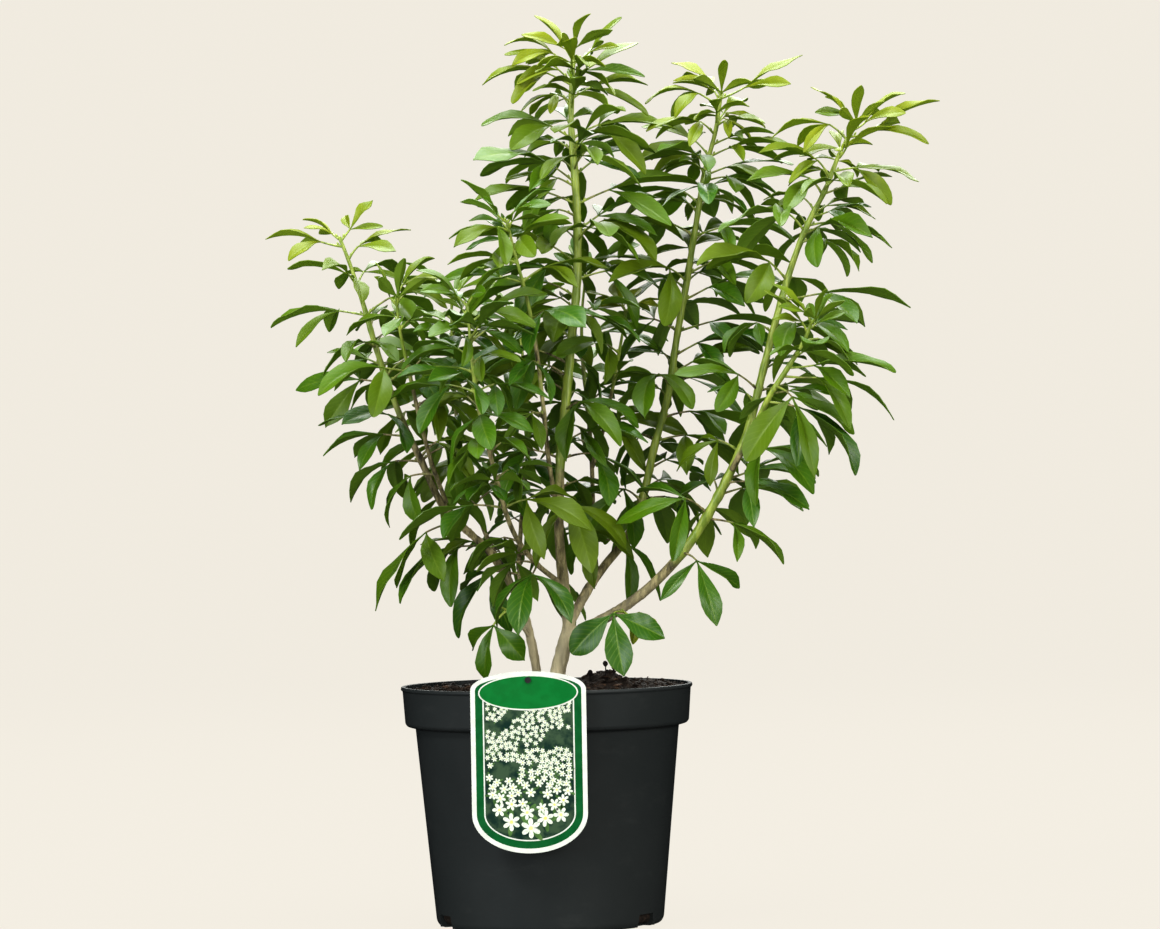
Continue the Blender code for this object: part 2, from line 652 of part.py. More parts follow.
def leaf_shape(leaf, swell=0.0, stalked=True):
    """A leaf's points and triangles: a four-sided stalk, a small hub, and three leaflets."""
    left = leaf.normal.cross(leaf.axis).normalized()
    hub = leaf.root + leaf.leave * leaf.petiole
    thick = BLADE + 2 * swell
    half = HUB_HALF + swell
    points = []
    for back, side in ((-1, -1), (-1, 1), (1, -1), (1, 1)):
        corner = hub + (leaf.axis * back + left * side) * half + leaf.normal * swell
        points.append(corner)
        points.append(corner - leaf.normal * thick)
    back_right, back_left, front_right, front_left = 0, 2, 4, 6
    faces = [(back_right, front_right, front_left), (back_right, front_left, back_left),
             (back_right + 1, front_left + 1, front_right + 1),
             (back_right + 1, back_left + 1, front_left + 1)]
    add_leaflet(points, faces, (front_right, front_left, front_right + 1, front_left + 1), leaf, leaf.axis,
                leaf.normal, leaf.size, swell)
    for side, base in ((1, (front_left, back_left, front_left + 1, back_left + 1)),
                       (-1, (back_right, front_right, back_right + 1, front_right + 1))):
        way = leaf.axis * math.cos(leaf.spread) + left * side * math.sin(leaf.spread)
        way = (way * math.cos(leaf.sag) - leaf.normal * math.sin(leaf.sag)).normalized()
        face_up = (leaf.normal - way * leaf.normal.dot(way)).normalized()
        add_leaflet(points, faces, base, leaf, way, face_up, leaf.size * SIDE_LEAFLET, swell)
    hub_end = [back_right, back_left, back_left + 1, back_right + 1]
    if not stalked:
        faces.append((hub_end[0], hub_end[1], hub_end[2]))
        faces.append((hub_end[0], hub_end[2], hub_end[3]))
        return points, faces
    root_end = list(range(len(points), len(points) + 4))
    half_width = PETIOLE_WIDTH / 2 + swell
    face_up = leaf.leave.cross(left).normalized()
    face_up = face_up if face_up.dot(leaf.normal) > 0 else -face_up
    for side, rise in ((-1, 1), (1, 1), (1, -1), (-1, -1)):
        points.append(leaf.root + (left * side + face_up * rise * 0.8) * half_width)
    for corner in range(4):
        after = (corner + 1) % 4
        faces.append((root_end[corner], hub_end[corner], hub_end[after]))
        faces.append((root_end[corner], hub_end[after], root_end[after]))
    faces.append((root_end[0], root_end[1], root_end[2]))
    faces.append((root_end[0], root_end[2], root_end[3]))
    return points, faces


def aged(row, young, old=0.0):
    return row[0] + row[1] * young + row[2] * old


def leaf_at(branch, length, azimuth, lift, size, arch, roll, young=0.0):
    """A leaf on a stem at a length along it. Its blades turn their faces up and a little to the front."""
    place, along = branch.at(length)
    angle = math.radians(azimuth)
    outward = Vector((math.cos(angle), math.sin(angle), 0))
    radial = (outward - along * outward.dot(along)).normalized()
    rise = math.radians(lift)
    axis = outward * math.cos(rise) + UP * math.sin(rise)
    level = UP * math.cos(rise) - outward * math.sin(rise) + SUNWARD
    level = (level - axis * level.dot(axis)).normalized()
    turn = math.radians(roll)
    leave = (radial * 0.9 + along * (0.45 + 0.5 * young) + axis * 0.5).normalized()
    return Leaf(
        root=place + radial * branch.radius(length) * 0.3,
        leave=leave,
        petiole=branch.radius(length) + size * aged(STALK, young),
        axis=axis,
        normal=(level * math.cos(turn) + axis.cross(level) * math.sin(turn)).normalized(),
        size=size,
        arch=math.radians(arch),
        spread=math.radians(aged(SPREAD, young)),
        sag=math.radians(aged(SAG, young)),
    )


def ruled_leaf(branch, stem, share, azimuth, draw, attempt):
    """A leaf by the rule: upright and small at the tip, level further down, hanging at the foot."""
    length = branch.leafy + (branch.curve.length - branch.leafy) * min(share, 0.995)
    young = max(0.0, (share - YOUNG_FROM) / (1 - YOUNG_FROM))
    old = max(0.0, (OLD_UNTIL - share) / OLD_UNTIL)
    shift = TRY_TURN * ((attempt + 1) // 2) * (1 if attempt % 2 else -1)
    lift = aged(LIFT, young ** 1.5, old) + draw.uniform(*LIFT_DRAW) - TRY_LOWER * attempt
    size = stem.size * aged(SIZE, young ** 1.3) * draw.uniform(*SIZE_DRAW) * TRY_SHRINK ** attempt
    arch = aged(ARCH, young, old) + draw.uniform(*ARCH_DRAW)
    return leaf_at(branch, length, azimuth + shift, lift, size, arch, draw.uniform(*ROLL_DRAW), young)


def tree_of(points, faces):
    return BVHTree.FromPolygons(points, faces, all_triangles=True)


class Thicket:
    """What is placed so far, so that a new leaf can be tested against all of it."""

    def __init__(self):
        self.pieces = []

    def add(self, owner, points, faces):
        centre = sum(points, Vector()) / len(points)
        reach = max((point - centre).length for point in points)
        self.pieces.append((owner, centre, reach, tree_of(points, faces)))

    def clear_of(self, points, faces, skip=None):
        centre = sum(points, Vector()) / len(points)
        reach = max((point - centre).length for point in points)
        tree = tree_of(points, faces)
        for owner, other_centre, other_reach, other in self.pieces:
            near = (centre - other_centre).length < reach + other_reach
            if owner != skip and near and tree.overlap(other):
                return False
        return True


def grow_leaves(branches):
    """Sets the lone leaves, then walks up each stem setting pairs, each a quarter turn on from the last.

    A leaf that would touch what stands already is turned aside, lowered and shrunk a little, try by
    try, and left out if it never clears.
    """
    thicket = Thicket()
    for name, branch in branches.items():
        thicket.add(name, *read_shape(branch.leafy_shape(MARGIN)))
        if branch.wood:
            thicket.add(name + " wood", *read_shape(branch.wood_shape(MARGIN)))
    leaves = {name: [] for name in STEMS}

    def settle(name, leaf):
        blades = leaf_shape(leaf, MARGIN, stalked=False)
        whole = leaf_shape(leaf, MARGIN)
        clear = thicket.clear_of(*blades) and thicket.clear_of(*whole, skip=name)
        if clear:
            thicket.add(name + " leaf", *leaf_shape(leaf))
            leaves[name].append(leaf)
        return clear

    for name, height, azimuth, lift, size, arch, roll in LONE_LEAVES:
        branch = branches[name]
        length = branch.best_length(lambda place: abs(place.z - height))
        for shift in LONE_TURNS:
            if settle(name, leaf_at(branch, length, azimuth + shift, lift, size, arch, roll)):
                break
    for name, stem in STEMS.items():
        draw = random.Random(name)
        for pair in range(stem.pairs):
            part = pair / (stem.pairs - 1)
            share = stem.first + (1 - stem.first) * part * (1 + CROWDING * (1 - part))
            for half_turn in (0, 180):
                azimuth = stem.turn + 90 * pair + half_turn + draw.uniform(*TURN_DRAW)
                for attempt in range(TRIES):
                    if settle(name, ruled_leaf(branches[name], stem, share, azimuth, draw, attempt)):
                        break
    return leaves


def read_shape(shape):
    """A bmesh's points and triangles, as lists."""
    bmesh.ops.triangulate(shape, faces=shape.faces)
    shape.verts.index_update()
    points = [point.co.copy() for point in shape.verts]
    faces = [[corner.index for corner in face.verts] for face in shape.faces]
    shape.free()
    return points, faces


def mesh_of_leaf(leaf):
    points, faces = leaf_shape(leaf)
    shape = bmesh.new()
    corners = [shape.verts.new(point) for point in points]
    for face in faces:
        shape.faces.new([corners[index] for index in face])
    return make_mesh("leaf", shape)


def make_plant(bark, foliage):
    """The trunks, then each leafy stem with its leaves. Returns the stems that root in the soil."""
    branches = grow_stems()
    leaves = grow_leaves(branches)
    for trunk, names in TRUNKS.items():
        meshes = [make_mesh(trunk, branches[name].wood_shape()) for name in names]
        first, *forks = [add_object(trunk, mesh, bark) for mesh in meshes]
        if forks:
            fuse(first, forks)
    for name in STEMS:
        label = "leafy_stem_" + name
        stem = add_object(label, make_mesh(label, branches[name].leafy_shape()), foliage)
        fuse(stem, [add_object("leaf", mesh_of_leaf(leaf)) for leaf in leaves[name]])
    return [branches[names[0]] for names in TRUNKS.values()]


def main():
    clear_scene()
    plastic = material("anthracite_plastic", (0.018, 0.020, 0.024), 0.45)
    earth = material("potting_soil", (0.022, 0.014, 0.010), 0.95)
    card = material("label_card", (0.85, 0.86, 0.84), 0.35)
    black = material("black_plastic", (0.012, 0.012, 0.013), 0.4)
    bark = material("grey_brown_bark", (0.30, 0.22, 0.14), 0.8)
    foliage = material("green_foliage", (0.07, 0.20, 0.02), 0.4)
    make_pot(plastic)
    make_label(card)
    make_clip(black)
    rooted = make_plant(bark, foliage)
    make_soil(earth, rooted)


main()
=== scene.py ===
"""Potted mexican orange, dressed: leaves, bark, potting soil, pot and label around the fixed frame.

Lengths are in millimetres and make_mesh turns them into metres. +Z is up and the front faces -Y.
Directions round the plant are in degrees from +X, which is to the right seen from the front.
The plant grows by the same routes and the same rule as the frame's leafy stems, so its leaves lie where
theirs do, and smaller ones are then added between them.
"""
import json
import math
import random
from typing import NamedTuple

import bmesh
import bpy
from mathutils import Euler, Matrix, Vector, noise
from mathutils.bvhtree import BVHTree

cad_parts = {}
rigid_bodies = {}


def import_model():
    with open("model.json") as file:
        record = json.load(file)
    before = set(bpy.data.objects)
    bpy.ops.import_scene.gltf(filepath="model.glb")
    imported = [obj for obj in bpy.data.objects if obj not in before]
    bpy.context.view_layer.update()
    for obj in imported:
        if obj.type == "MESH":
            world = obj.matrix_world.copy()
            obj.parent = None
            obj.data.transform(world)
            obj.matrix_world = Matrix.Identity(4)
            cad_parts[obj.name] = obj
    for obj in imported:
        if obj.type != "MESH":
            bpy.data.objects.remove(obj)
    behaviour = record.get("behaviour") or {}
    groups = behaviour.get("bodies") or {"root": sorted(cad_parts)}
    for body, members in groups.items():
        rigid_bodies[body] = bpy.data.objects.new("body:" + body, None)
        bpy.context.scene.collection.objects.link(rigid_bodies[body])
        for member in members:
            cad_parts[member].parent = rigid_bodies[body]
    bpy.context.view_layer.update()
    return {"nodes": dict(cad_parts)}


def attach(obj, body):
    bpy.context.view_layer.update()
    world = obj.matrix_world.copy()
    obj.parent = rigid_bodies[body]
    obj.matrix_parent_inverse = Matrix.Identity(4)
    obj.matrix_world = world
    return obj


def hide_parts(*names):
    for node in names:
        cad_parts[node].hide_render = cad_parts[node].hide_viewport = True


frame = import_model()

MM = 0.001
GAP = 0.3
UP = Vector((0, 0, 1))

# A random direction in radians is drawn from 0 to this, a little over a full turn
TURN = 6.3

# Camera: the photograph's width and height in pixels, and the pixels that 1 m takes at the pot's axis
PHOTO = (1160, 929)
PIXELS_PER_METRE = 1536.0
EYE = (24.1, -3000.0, 297.7)
ROLL = 0.95
SENSOR = 36.0

# Light and backdrop
PAPER = (0.893, 0.853, 0.776)
PAPER_GLOW = 0.99
CONTRAST = 0.86
BACKDROP_RADIUS = 8000.0
BACKDROP_BEND = 2000.0
BACKDROP_HEIGHT = 7000.0
BACKDROP_SIDES = 96
BACKDROP_STEPS = 16
SKY_COLOUR = (1.0, 0.99, 0.90)
SKY_STRENGTH = 0.88
LIT_POINT = Vector((0.03, 0, 0.3))

# Round lights that face the plant: name, place and size in metres, power in watts, and colour
LIGHTS = (
    ("key", (-1.4, -1.8, 2.2), 0.8, 64, (1.0, 0.99, 0.95)),
    ("top", (0.1, 0.1, 2.3), 1.7, 92, (0.94, 0.98, 1.0)),
    ("back", (0.2, 1.9, 1.9), 2.2, 78, (0.98, 1.0, 0.96)),
    ("side", (2.0, -1.2, 1.0), 0.8, 22, (1.0, 1.0, 0.98)),
    ("front", (1.3, -2.5, 1.0), 1.1, 42, (1.0, 0.99, 0.93)),
    ("low", (-1.9, -1.9, 0.5), 1.0, 42, (0.90, 0.95, 1.0)),
)

# Pot
POT_SIDES = 144
POT_HEIGHT = 155.0
LIP_RADIUS = 95.0
LIP_DEPTH = 2.0
LIP_ROUND = 0.8
BAND_TOP_RADIUS = 93.8
BAND_FOOT_RADIUS = 92.3
BAND_FOOT_Z = 130.0
BAND_ROUND = 1.2
STEP_HEIGHT = 2.0
BODY_TOP_RADIUS = 85.7
BODY_FOOT_RADIUS = 73.9
FOOT_RADIUS = 72.0
FOOT_EDGE = 3.0
WALL = 1.8
FLOOR = 2.0
NOTCH_ANGLES = (-155.6, -33.0, 88.0)
NOTCH_WIDTH = 18.5
NOTCH_SLOPE = 1.2
NOTCH_HEIGHT = 8.5
NOTCH_INNER = 66.0
NOTCH_OUTER = 80.0
POCKET_FOOT = 0.5
CUTTER_FOOT = -5.0
POT_SHARP = 40
CORNER_STEPS = 4

# How far from a corner of the pot's profile its rounding starts, by the corner's number
POT_CORNERS = {1: 1.4, 2: 1.6, 3: 1.0, 4: 1.0, 5: 0.8, 6: 0.5, 7: 0.8, 8: 0.6, 9: 0.5}

# Soil. A mound is (x, y, height, reach), a stalked head is (x, y, top z)
SOIL_LEVEL = 151.5
SOIL_SIDES = 120
SOIL_RING_STEP = 2.4
SOIL_MOUNDS = ((38, -8, 10.5, 19), (8, 6, 3.5, 24), (-14, 12, 3.0, 20), (62, 26, 4.0, 22),
               (-58, -20, 2.0, 22))
HEADS = ((38, -14, 170.5), (43.5, -11, 168), (28, -18, 165))
CLOD_SCALE = 0.13
CLOD_HEIGHT = 1.6
GRAIN_SCALE = 0.42
GRAIN_HEIGHT = 0.9

# Crumbs of peat: how many, their sizes, how far they are squashed, raised and made uneven by size
CRUMBS = 1500
CRUMB_SIZES = (0.6, 0.8, 1.0, 1.3, 1.9)
CRUMB_WIDTHS = (0.7, 1.4)
CRUMB_HEIGHTS = (0.5, 0.9)
CRUMB_RISE = 0.25
CRUMB_UNEVEN = 0.22

# Chips of bark: their length, width and thickness, and their rise and bevel by thickness
CHIPS = 90
CHIP_DRAWS = ((3, 10), (1.5, 4.5), (0.6, 1.4))
CHIP_MARGIN = 6
CHIP_TILTS = ((-0.5, 0.5), (-0.4, 0.4), (0, TURN))
CHIP_RISE = 0.3
CHIP_UNEVEN = 0.5
CHIP_BEVEL = 0.22

# Fibres of root and straw
FIBRES = 60
FIBRE_STEPS = 4
FIBRE_SIDES = 5
FIBRE_MARGIN = 10
FIBRE_RISE = 0.5
FIBRE_BEND_DRAW = (-0.12, 0.12)
FIBRE_LENGTH_DRAW = (4, 13)
FIBRE_RADIUS_DRAW = (0.18, 0.4)
FIBRE_RADII = (0.6, 1, 1, 1, 0.5)

# How many of them are made in one batch
BATCH = 30

# A stalked head: its root below the soil, the radii at its root and half-way up, and then pairs of
# a depth under its top and the radius there
HEAD_SIDES = 10
HEAD_ROOT = 3.0
HEAD_STALK = (0.5, 0.38)
HEAD_SWAY, HEAD_SWAY_RATE = 0.5, 0.2
HEAD_RINGS = ((4.2, 0.36), (3.4, 1.1), (2.4, 1.75), (1.2, 1.5), (0.3, 0.7))

# The soil's finishes after the first, by their place in its list
BARK_FINISH = 1
HEAD_FINISH = 2
SOIL_SHARP = 60

# Label, hanging in front of the rim
LABEL_X = -11.0
LABEL_BACK_Y = -96.6
LABEL_THICK = 0.8
LABEL_WIDTH = 73.0
LABEL_FOOT_Z = 53.3
LABEL_TOP_Z = 168.0
LABEL_TOP_ARC = 12.0
LABEL_FOOT_ARC = 25.0
LABEL_PLACE = Matrix.Translation((LABEL_X, LABEL_BACK_Y - LABEL_THICK, 0))
TOP_ARC_FULLNESS = 0.9
ARC_STEPS = 40
HOLE_Z = 162.5
HOLE_RADIUS = 1.65
LABEL_SHARP = 30
LABEL_BORDER = 3.0
LABEL_FRAME = 4.6
LABEL_LINE = 0.9
PANEL_TOP_Z = 151.0
HEADER_Z = 154.6
HEADER_HALF = (31.5, 11.2)

# The label's print: the thickness of an ink, the inks by their place in the card's finishes, and the
# blossoms, which grow larger down the panel and stand in drifts
INK = 0.03
CARD, FRAME_INK, HEADER_INK, PANEL_INK, LEAF_INK, HEART_INK, PETAL_INK = range(7)
BLOSSOM_TRIES = 3000
BLOSSOM_SIZE = (1.5, 8.2)
BLOSSOM_GROWTH = 3.2
BLOSSOM_DRAW = (0.5, 1.0)
BLOSSOM_SPACING = 0.74
DRIFT_SCALE = 0.1
DRIFT_EDGE = -0.22
PETALS = 6
PETAL_STEPS = 8
PETAL_FOOT = 0.3
PETAL_FULLNESS = 0.8
SPRIG_STEPS = 16
SPRIG_SIZE = 0.7
SPRIG_WIDTH = 0.36
SPRIG_AWAY = 0.9
SPRIG_TURNS = ((0, 3), (3, 6))
HEART_SIZE = 0.2

# The card's hole and a blossom's heart are ovals in which one point in so many is kept
HOLE_POINTS, HEART_POINTS = 3, 8

# Stems
CURVE_STEPS = 8
STEM_SIDES = 5
WOOD_SIDES = 8
RING_STEP = 32.0

# Leaves
BLADE = 0.7
PETIOLE_WIDTH = 1.2
PETIOLE_FLATNESS = 0.8
HUB_HALF = 0.95
SIDE_LEAFLET = 0.86
HALF_WIDTH = 0.2
STATIONS = ((0.36, 1.0), (0.72, 0.7))
SUNWARD = Vector((0, -0.4, 0.1))
MARGIN = 0.45
TRIES = 18
ROOT_DEPTH = 0.3
LEAVE_OUTWARD = 0.9
LEAVE_ALONG = 0.45
LEAVE_ALONG_YOUNG = 0.5
LEAVE_LEVEL = 0.5
LAST_SHARE = 0.995

# The rule for the leaves of a stem. Each row is for the middle of it, what the youngest at its tip add,
# and what the oldest at its foot add. Sizes are shares of a full-grown leaflet, angles are in degrees
LIFT = (12, 44, -42)
ARCH = (40, -8, 16)
SIZE = (1.0, -0.36, 0)
STALK = (0.34, -0.14, 0)
SPREAD = (60, -12, 0)
SAG = (10, -4, 0)
YOUNG_FROM = 0.76
OLD_UNTIL = 0.5
CROWDING = 0.38

# What is drawn by chance for each leaf, and what a new try changes
LIFT_DRAW = (-10, 10)
SIZE_DRAW = (0.9, 1.1)
ARCH_DRAW = (-10, 16)
ROLL_DRAW = (-26, 26)
TURN_DRAW = (-14, 14)
TRY_TURN = 12
TRY_LOWER = 1.5
TRY_SHRINK = 0.975
LONE_TURNS = (0, 8, -8, 16, -16)


class Stem(NamedTuple):
    """A stem's route and radii, what carries it, and the rule its leaves follow.

    `wood` is the length at the foot of the route that is trunk wood, with no leaves. A stem without
    any is seated on the bark of its `parent`. `radii` are those at the foot, at the end of the wood
    and at the tip. `first` is the share of the leafy length at which the first pair stands, `turn`
    that pair's direction, and `size` the length of a full-grown middle leaflet.
    """
    route: list
    radii: tuple
    parent: str
    wood: float
    first: float
    pairs: int
    turn: float
    size: float


class Leaf(NamedTuple):
    """One leaf: where its stalk leaves the stem, its frame at the hub, and how its blades bend.

    `share` is its place along the stem's leafy length, from 0 at the foot to 1 at the tip.
    """
    root: Vector
    leave: Vector
    petiole: float
    axis: Vector
    normal: Vector
    size: float
    arch: float
    spread: float
    sag: float
    share: float


STEMS = {
    "leader": Stem(
        [(4, 0, 122), (5, 0, 140), (7, 0, 160), (11, 0, 177), (15, 0, 192), (14, -1, 206),
         (12, -2, 222), (10, -6, 249), (10, -8, 275), (12, -8, 307), (16, -6, 343), (20, -4, 379),
         (24, -2, 415), (25, 0, 450), (24, 0, 483), (22, 0, 522), (24, 0, 563)],
        (6.0, 3.2, 2.1), "", 126, 0.07, 13, 100, 55),
    "middle": Stem(
        [(15, 1, 194), (28, 12, 216), (39, 20, 231), (55, 26, 251), (66, 30, 279), (73, 32, 308),
         (83, 34, 343), (89, 35, 379), (96, 35, 415), (103, 34, 454), (109, 32, 487), (117, 30, 516),
         (121, 28, 541)],
        (3.5, 2.9, 1.6), "leader", 46, 0.16, 10, 60, 52),
    "right": Stem(
        [(14, 0, 186), (41, -8, 199), (65, -14, 215), (88, -20, 238), (105, -24, 262), (121, -26, 291),
         (133, -24, 318), (141, -20, 347), (150, -16, 380), (161, -12, 417), (173, -10, 448),
         (186, -10, 473), (196, -10, 497), (206, -10, 514)],
        (3.7, 3.3, 1.6), "leader", 58, 0.2, 9, 30, 51),
    "right_low": Stem(
        [(119, -26, 288), (135, -40, 317), (146, -50, 339), (159, -58, 359), (168, -64, 374),
         (173, -68, 386)],
        (1.9, 1.9, 1.4), "right", 0, 0.45, 3, 10, 48),
    "inner_right": Stem(
        [(34, 16, 224), (32, 34, 255), (32, 46, 294), (30, 54, 334), (27, 60, 367), (27, 66, 397),
         (30, 70, 424)],
        (2.0, 2.0, 1.4), "middle", 0, 0.1, 4, 40, 52),
    "inner_low": Stem(
        [(32, 46, 294), (39, 34, 317), (46, 24, 346), (52, 16, 376), (56, 12, 398)],
        (1.6, 1.6, 1.3), "inner_right", 0, 0.35, 3, 120, 46),
    "front_left": Stem(
        [(12, -2, 219), (-6, -22, 235), (-19, -36, 254), (-28, -48, 282), (-35, -56, 314),
         (-41, -62, 340), (-44, -66, 372), (-46, -68, 401)],
        (2.2, 2.2, 1.4), "leader", 0, 0.12, 6, 70, 48),
    "centre_left": Stem(
        [(10, -7, 262), (4, -24, 300), (1, -34, 336), (-3, -42, 375), (-8, -48, 404), (-15, -54, 432),
         (-20, -58, 454)],
        (1.9, 1.9, 1.4), "leader", 0, 0.15, 7, 20, 48),
    "far_left": Stem(
        [(-4, 12, 122), (-5, 12, 140), (-6, 12, 160), (-10, 12, 184), (-15, 12, 203), (-24, 12, 223),
         (-37, 11, 243), (-55, 8, 260), (-68, 8, 276), (-79, 6, 301), (-90, 4, 325), (-100, 2, 352),
         (-108, 0, 378), (-116, 0, 407), (-124, 0, 432), (-130, 0, 448)],
        (3.3, 2.5, 1.5), "", 150, 0.1, 9, 75, 49),
    "left_front": Stem(
        [(-64, 8, 271), (-72, -12, 300), (-79, -26, 330), (-85, -36, 360), (-90, -44, 386),
         (-92, -48, 408)],
        (1.9, 1.9, 1.4), "far_left", 0, 0.15, 5, 35, 52),
    "left_back": Stem(
        [(-24, 12, 223), (-40, 38, 256), (-52, 58, 295), (-58, 70, 335), (-60, 78, 375),
         (-60, 84, 412)],
        (2.0, 2.0, 1.4), "far_left", 0, 0.12, 5, 15, 52),
    "centre_back": Stem(
        [(-15, 12, 203), (-17, 40, 236), (-14, 62, 275), (-10, 78, 318), (-12, 90, 358),
         (-16, 98, 398)],
        (2.0, 2.0, 1.4), "far_left", 0, 0.12, 4, 50, 54),
    "low_right": Stem(
        [(41, -8, 199), (48, -22, 203), (53, -34, 201)],
        (1.4, 1.4, 1.1), "right", 0, 0.0, 0, 0, 44),
    "low_left": Stem(
        [(-10, 12, 184), (-20, -2, 200), (-28, -14, 206)],
        (1.3, 1.3, 1.1), "far_left", 0, 0.0, 0, 0, 32),
}

# Leaves that stand out by themselves: stem, height on it, direction, lift, size, arch and roll
LONE_LEAVES = (
    ("right", 508, 2, 42, 46, 36, 0),
    ("right", 505, 184, 16, 40, 56, 10),
    ("right", 402, -8, 10, 61, 38, -20),
    ("right_low", 352, -6, 2, 58, 62, -15),
    ("right_low", 336, -22, -22, 58, 58, -10),
    ("right_low", 346, -60, -52, 56, 30, 10),
    ("right", 262, -10, -22, 42, 36, -10),
    ("right", 240, -60, -56, 44, 30, 0),
    ("far_left", 262, 205, -36, 62, 34, 20),
    ("far_left", 258, 250, -62, 58, 26, 0),
    ("far_left", 318, 186, 6, 42, 50, 10),
    ("far_left", 442, 178, 26, 37, 44, 10),
    ("far_left", 446, 25, 56, 25, 16, 10),
    ("leader", 559, 8, 57, 31, 20, -10),
    ("leader", 557, 172, 48, 36, 72, 10),
    ("leader", 545, 184, 20, 44, 58, 5),
    ("leader", 551, 268, 40, 36, 40, 0),
    ("low_right", 202, -82, -58, 42, 26, 10),
    ("low_right", 201, -10, -20, 26, 34, 0),
    ("low_right", 203, 170, -50, 40, 30, -10),
    ("low_left", 204, 225, -60, 36, 50, 0),
    ("low_left", 203, 300, -56, 34, 40, 10),
    ("middle", 537, 8, 38, 44, 18, -15),
    ("middle", 532, 184, 26, 38, 70, 15),
)

TRUNKS = {"main_trunk": ("leader", "middle", "right"), "second_trunk": ("far_left",)}

# Finer stems. The rings past a stem's tip are pairs: how many radii past it, and the share of its radius
FINE_SIDES = 10
FINE_STEP = 3.5
NODE_SWELL = 0.16
NODE_REACH = 2.4
NODE_MOST = 1.2
SEAT_SINK = 1.2
TAPER_FROM = 0.7
TIP_TAPER = 0.35
TIP_RINGS = ((0.6, 0.8), (0.95, 0.4))
WOOD_FADE = 0.7

# Trunks: tubes with lumps, melted into one, then roughened by furrows along them and by knots
TRUNK_SIDES = 16
TRUNK_STEP = 3.0
TRUNK_OVERLAP = 0.5
LUMP_SCALE = 0.09
LUMP_SWELL = 0.10
TRUNK_VOXEL = 0.6
BARK_SMOOTHING = 2
FURROW_ACROSS = 0.8
FURROW_ALONG = 0.16
FURROW_DEPTH = 0.28
KNOT_SCALE = 0.22
KNOT_DEPTH = 0.35
GREENER_PER_MM = 0.0012

# Finer leaves: a blade's grid, its width along it, and what is drawn by chance for each blade
BLADE_ACROSS = 6
BLADE_ALONG = 9
FINE_BLADE = 0.45
FINE_HALF_WIDTH = 0.208
FOOT_WIDTH = 0.06
WIDEST = 1.55
EVEN_STEPS, EASED_STEPS = 0.45, 0.55
RIB_EVENNESS = 0.6
BLUNTING = 0.6
TIP_ROUND = 0.3
TIP_POINT = 0.025
UNFOLDING = 0.6
WAVES = 9
FOLD_DRAW = (22, 56)
FOLD_YOUNG = 10
TWIST_DRAW = (-20, 20)
BLUNT_DRAW = (0.1, 1.0)
WIDTH_DRAW = (0.82, 1.12)
CURL_DRAW = (0.05, 0.25)
WAVE_DRAW = (0.05, 0.2)
SWEEP_DRAW = (-0.08, 0.08)
SIDE_DRAW = (0.92, 1.04)

# How much the greens of whole leaves differ, those of a leaf's own blades, and how far youth evens them
LEAF_TONE = 0.72
BLADE_TONE = 0.22
EVENING = 0.6

# A leafy stem's finishes after the first, by their place in its list
UNDER_FINISH = 1
STEM_FINISH = 2
STEM_SHARP = 75

# Leaf stalks, and the buds in their axils
STALK_RADII = (0.95, 0.62)
STALK_SIDES = 6
STALK_STEPS = 5
STALK_BEND = 0.12
STALK_TURN = 0.7
STALK_THINNING = 1.6
STALK_WOOD = 0.72
BUD_LENGTH = 3.2
BUD_WIDTH = 1.6
BUD_OUT = 0.8
BUD_UP = 1.0
BUD_STEEPNESS = 1.4

# Leaves that the frame leaves out: between the pairs, and young upright ones at the tips
FILL_SIZE = (0.55, 1.1)
FILL_LIFT = (-14, 36)
FILL_SUNWARD = Vector((0, -0.1, 0.1))
FILL_YOUTH = 0.4
FILL_SHRINK = 3
FILL_UNTIL = {"far_left": 0.72, "right": 0.97}
FILL_PER_PAIR = {"leader": 9, "middle": 8, "right": 5, "far_left": 3}
FILL_PER_PAIR_ELSEWHERE = 6
FILL_TRIES = 7
CROWNS = (("leader", 0.64, 0.95, 36), ("middle", 0.68, 0.96, 22), ("right", 0.7, 0.95, 10))
TUFT_LEAVES = 7
SPARSE_TUFTS = {"far_left": 3}
TUFT_DEPTH = (0.5, 9)
TUFT_SIZE = (0.42, 0.66)
TUFT_LIFT = (38, 80)
TUFT_ARCH = (8, 42)

# Stems that stay in view from the front, up to a height, and how near them no leaf is added before
# them. A leaf is tested at shares of its leaflets' length
OPEN_STEMS = (("leader", 484), ("middle", 455), ("right", 470), ("far_left", 430))
OPEN_STEP = 6.0
OPEN_WIDTH = 4.5
OPEN_SHARES = (0.3, 0.55, 0.8)

# How fresh a leaf is: by its place on the stem, more at the tips of the long stems than inside the plant
FRESH_TIPS = {"leader": 1.0, "middle": 1.0, "right": 1.0, "far_left": 1.0, "right_low": 0.7,
              "inner_low": 1.0, "left_front": 0.7}
FRESH_ELSEWHERE = 0.25
YOUTH_FROM = 0.70
YOUTH_FOOT = 0.1
YOUTH_RISE = 0.18
FRESH_RISE = 0.14
FRESH_TIP = 0.6
YOUTH_DRAW = (-0.15, 0.15)

# The lone leaves low on the trunks: broad and dark, but for small ones, which have turned yellow
LOW_STEMS = ("low_right", "low_left")
LOW_WIDTH = 1.4
LOW_TONE = 0.8
LOW_YOUTH = 0.15
YELLOWED_SIZE = 30.0

# How far up a stem the bark reaches, as a share of its leafy length. The others are thin and woody
WOOD_REACH = {"leader": 0.2, "middle": 0.24, "right": 0.16, "far_left": 0.7, "right_low": 0.2}
INNER_THIN = 0.8
INNER_REACH = 0.95


def aged(row, young, old=0.0):
    """A value of the rule where a stem is that young, or that old, from 0 to 1."""
    return row[0] + row[1] * young + row[2] * old


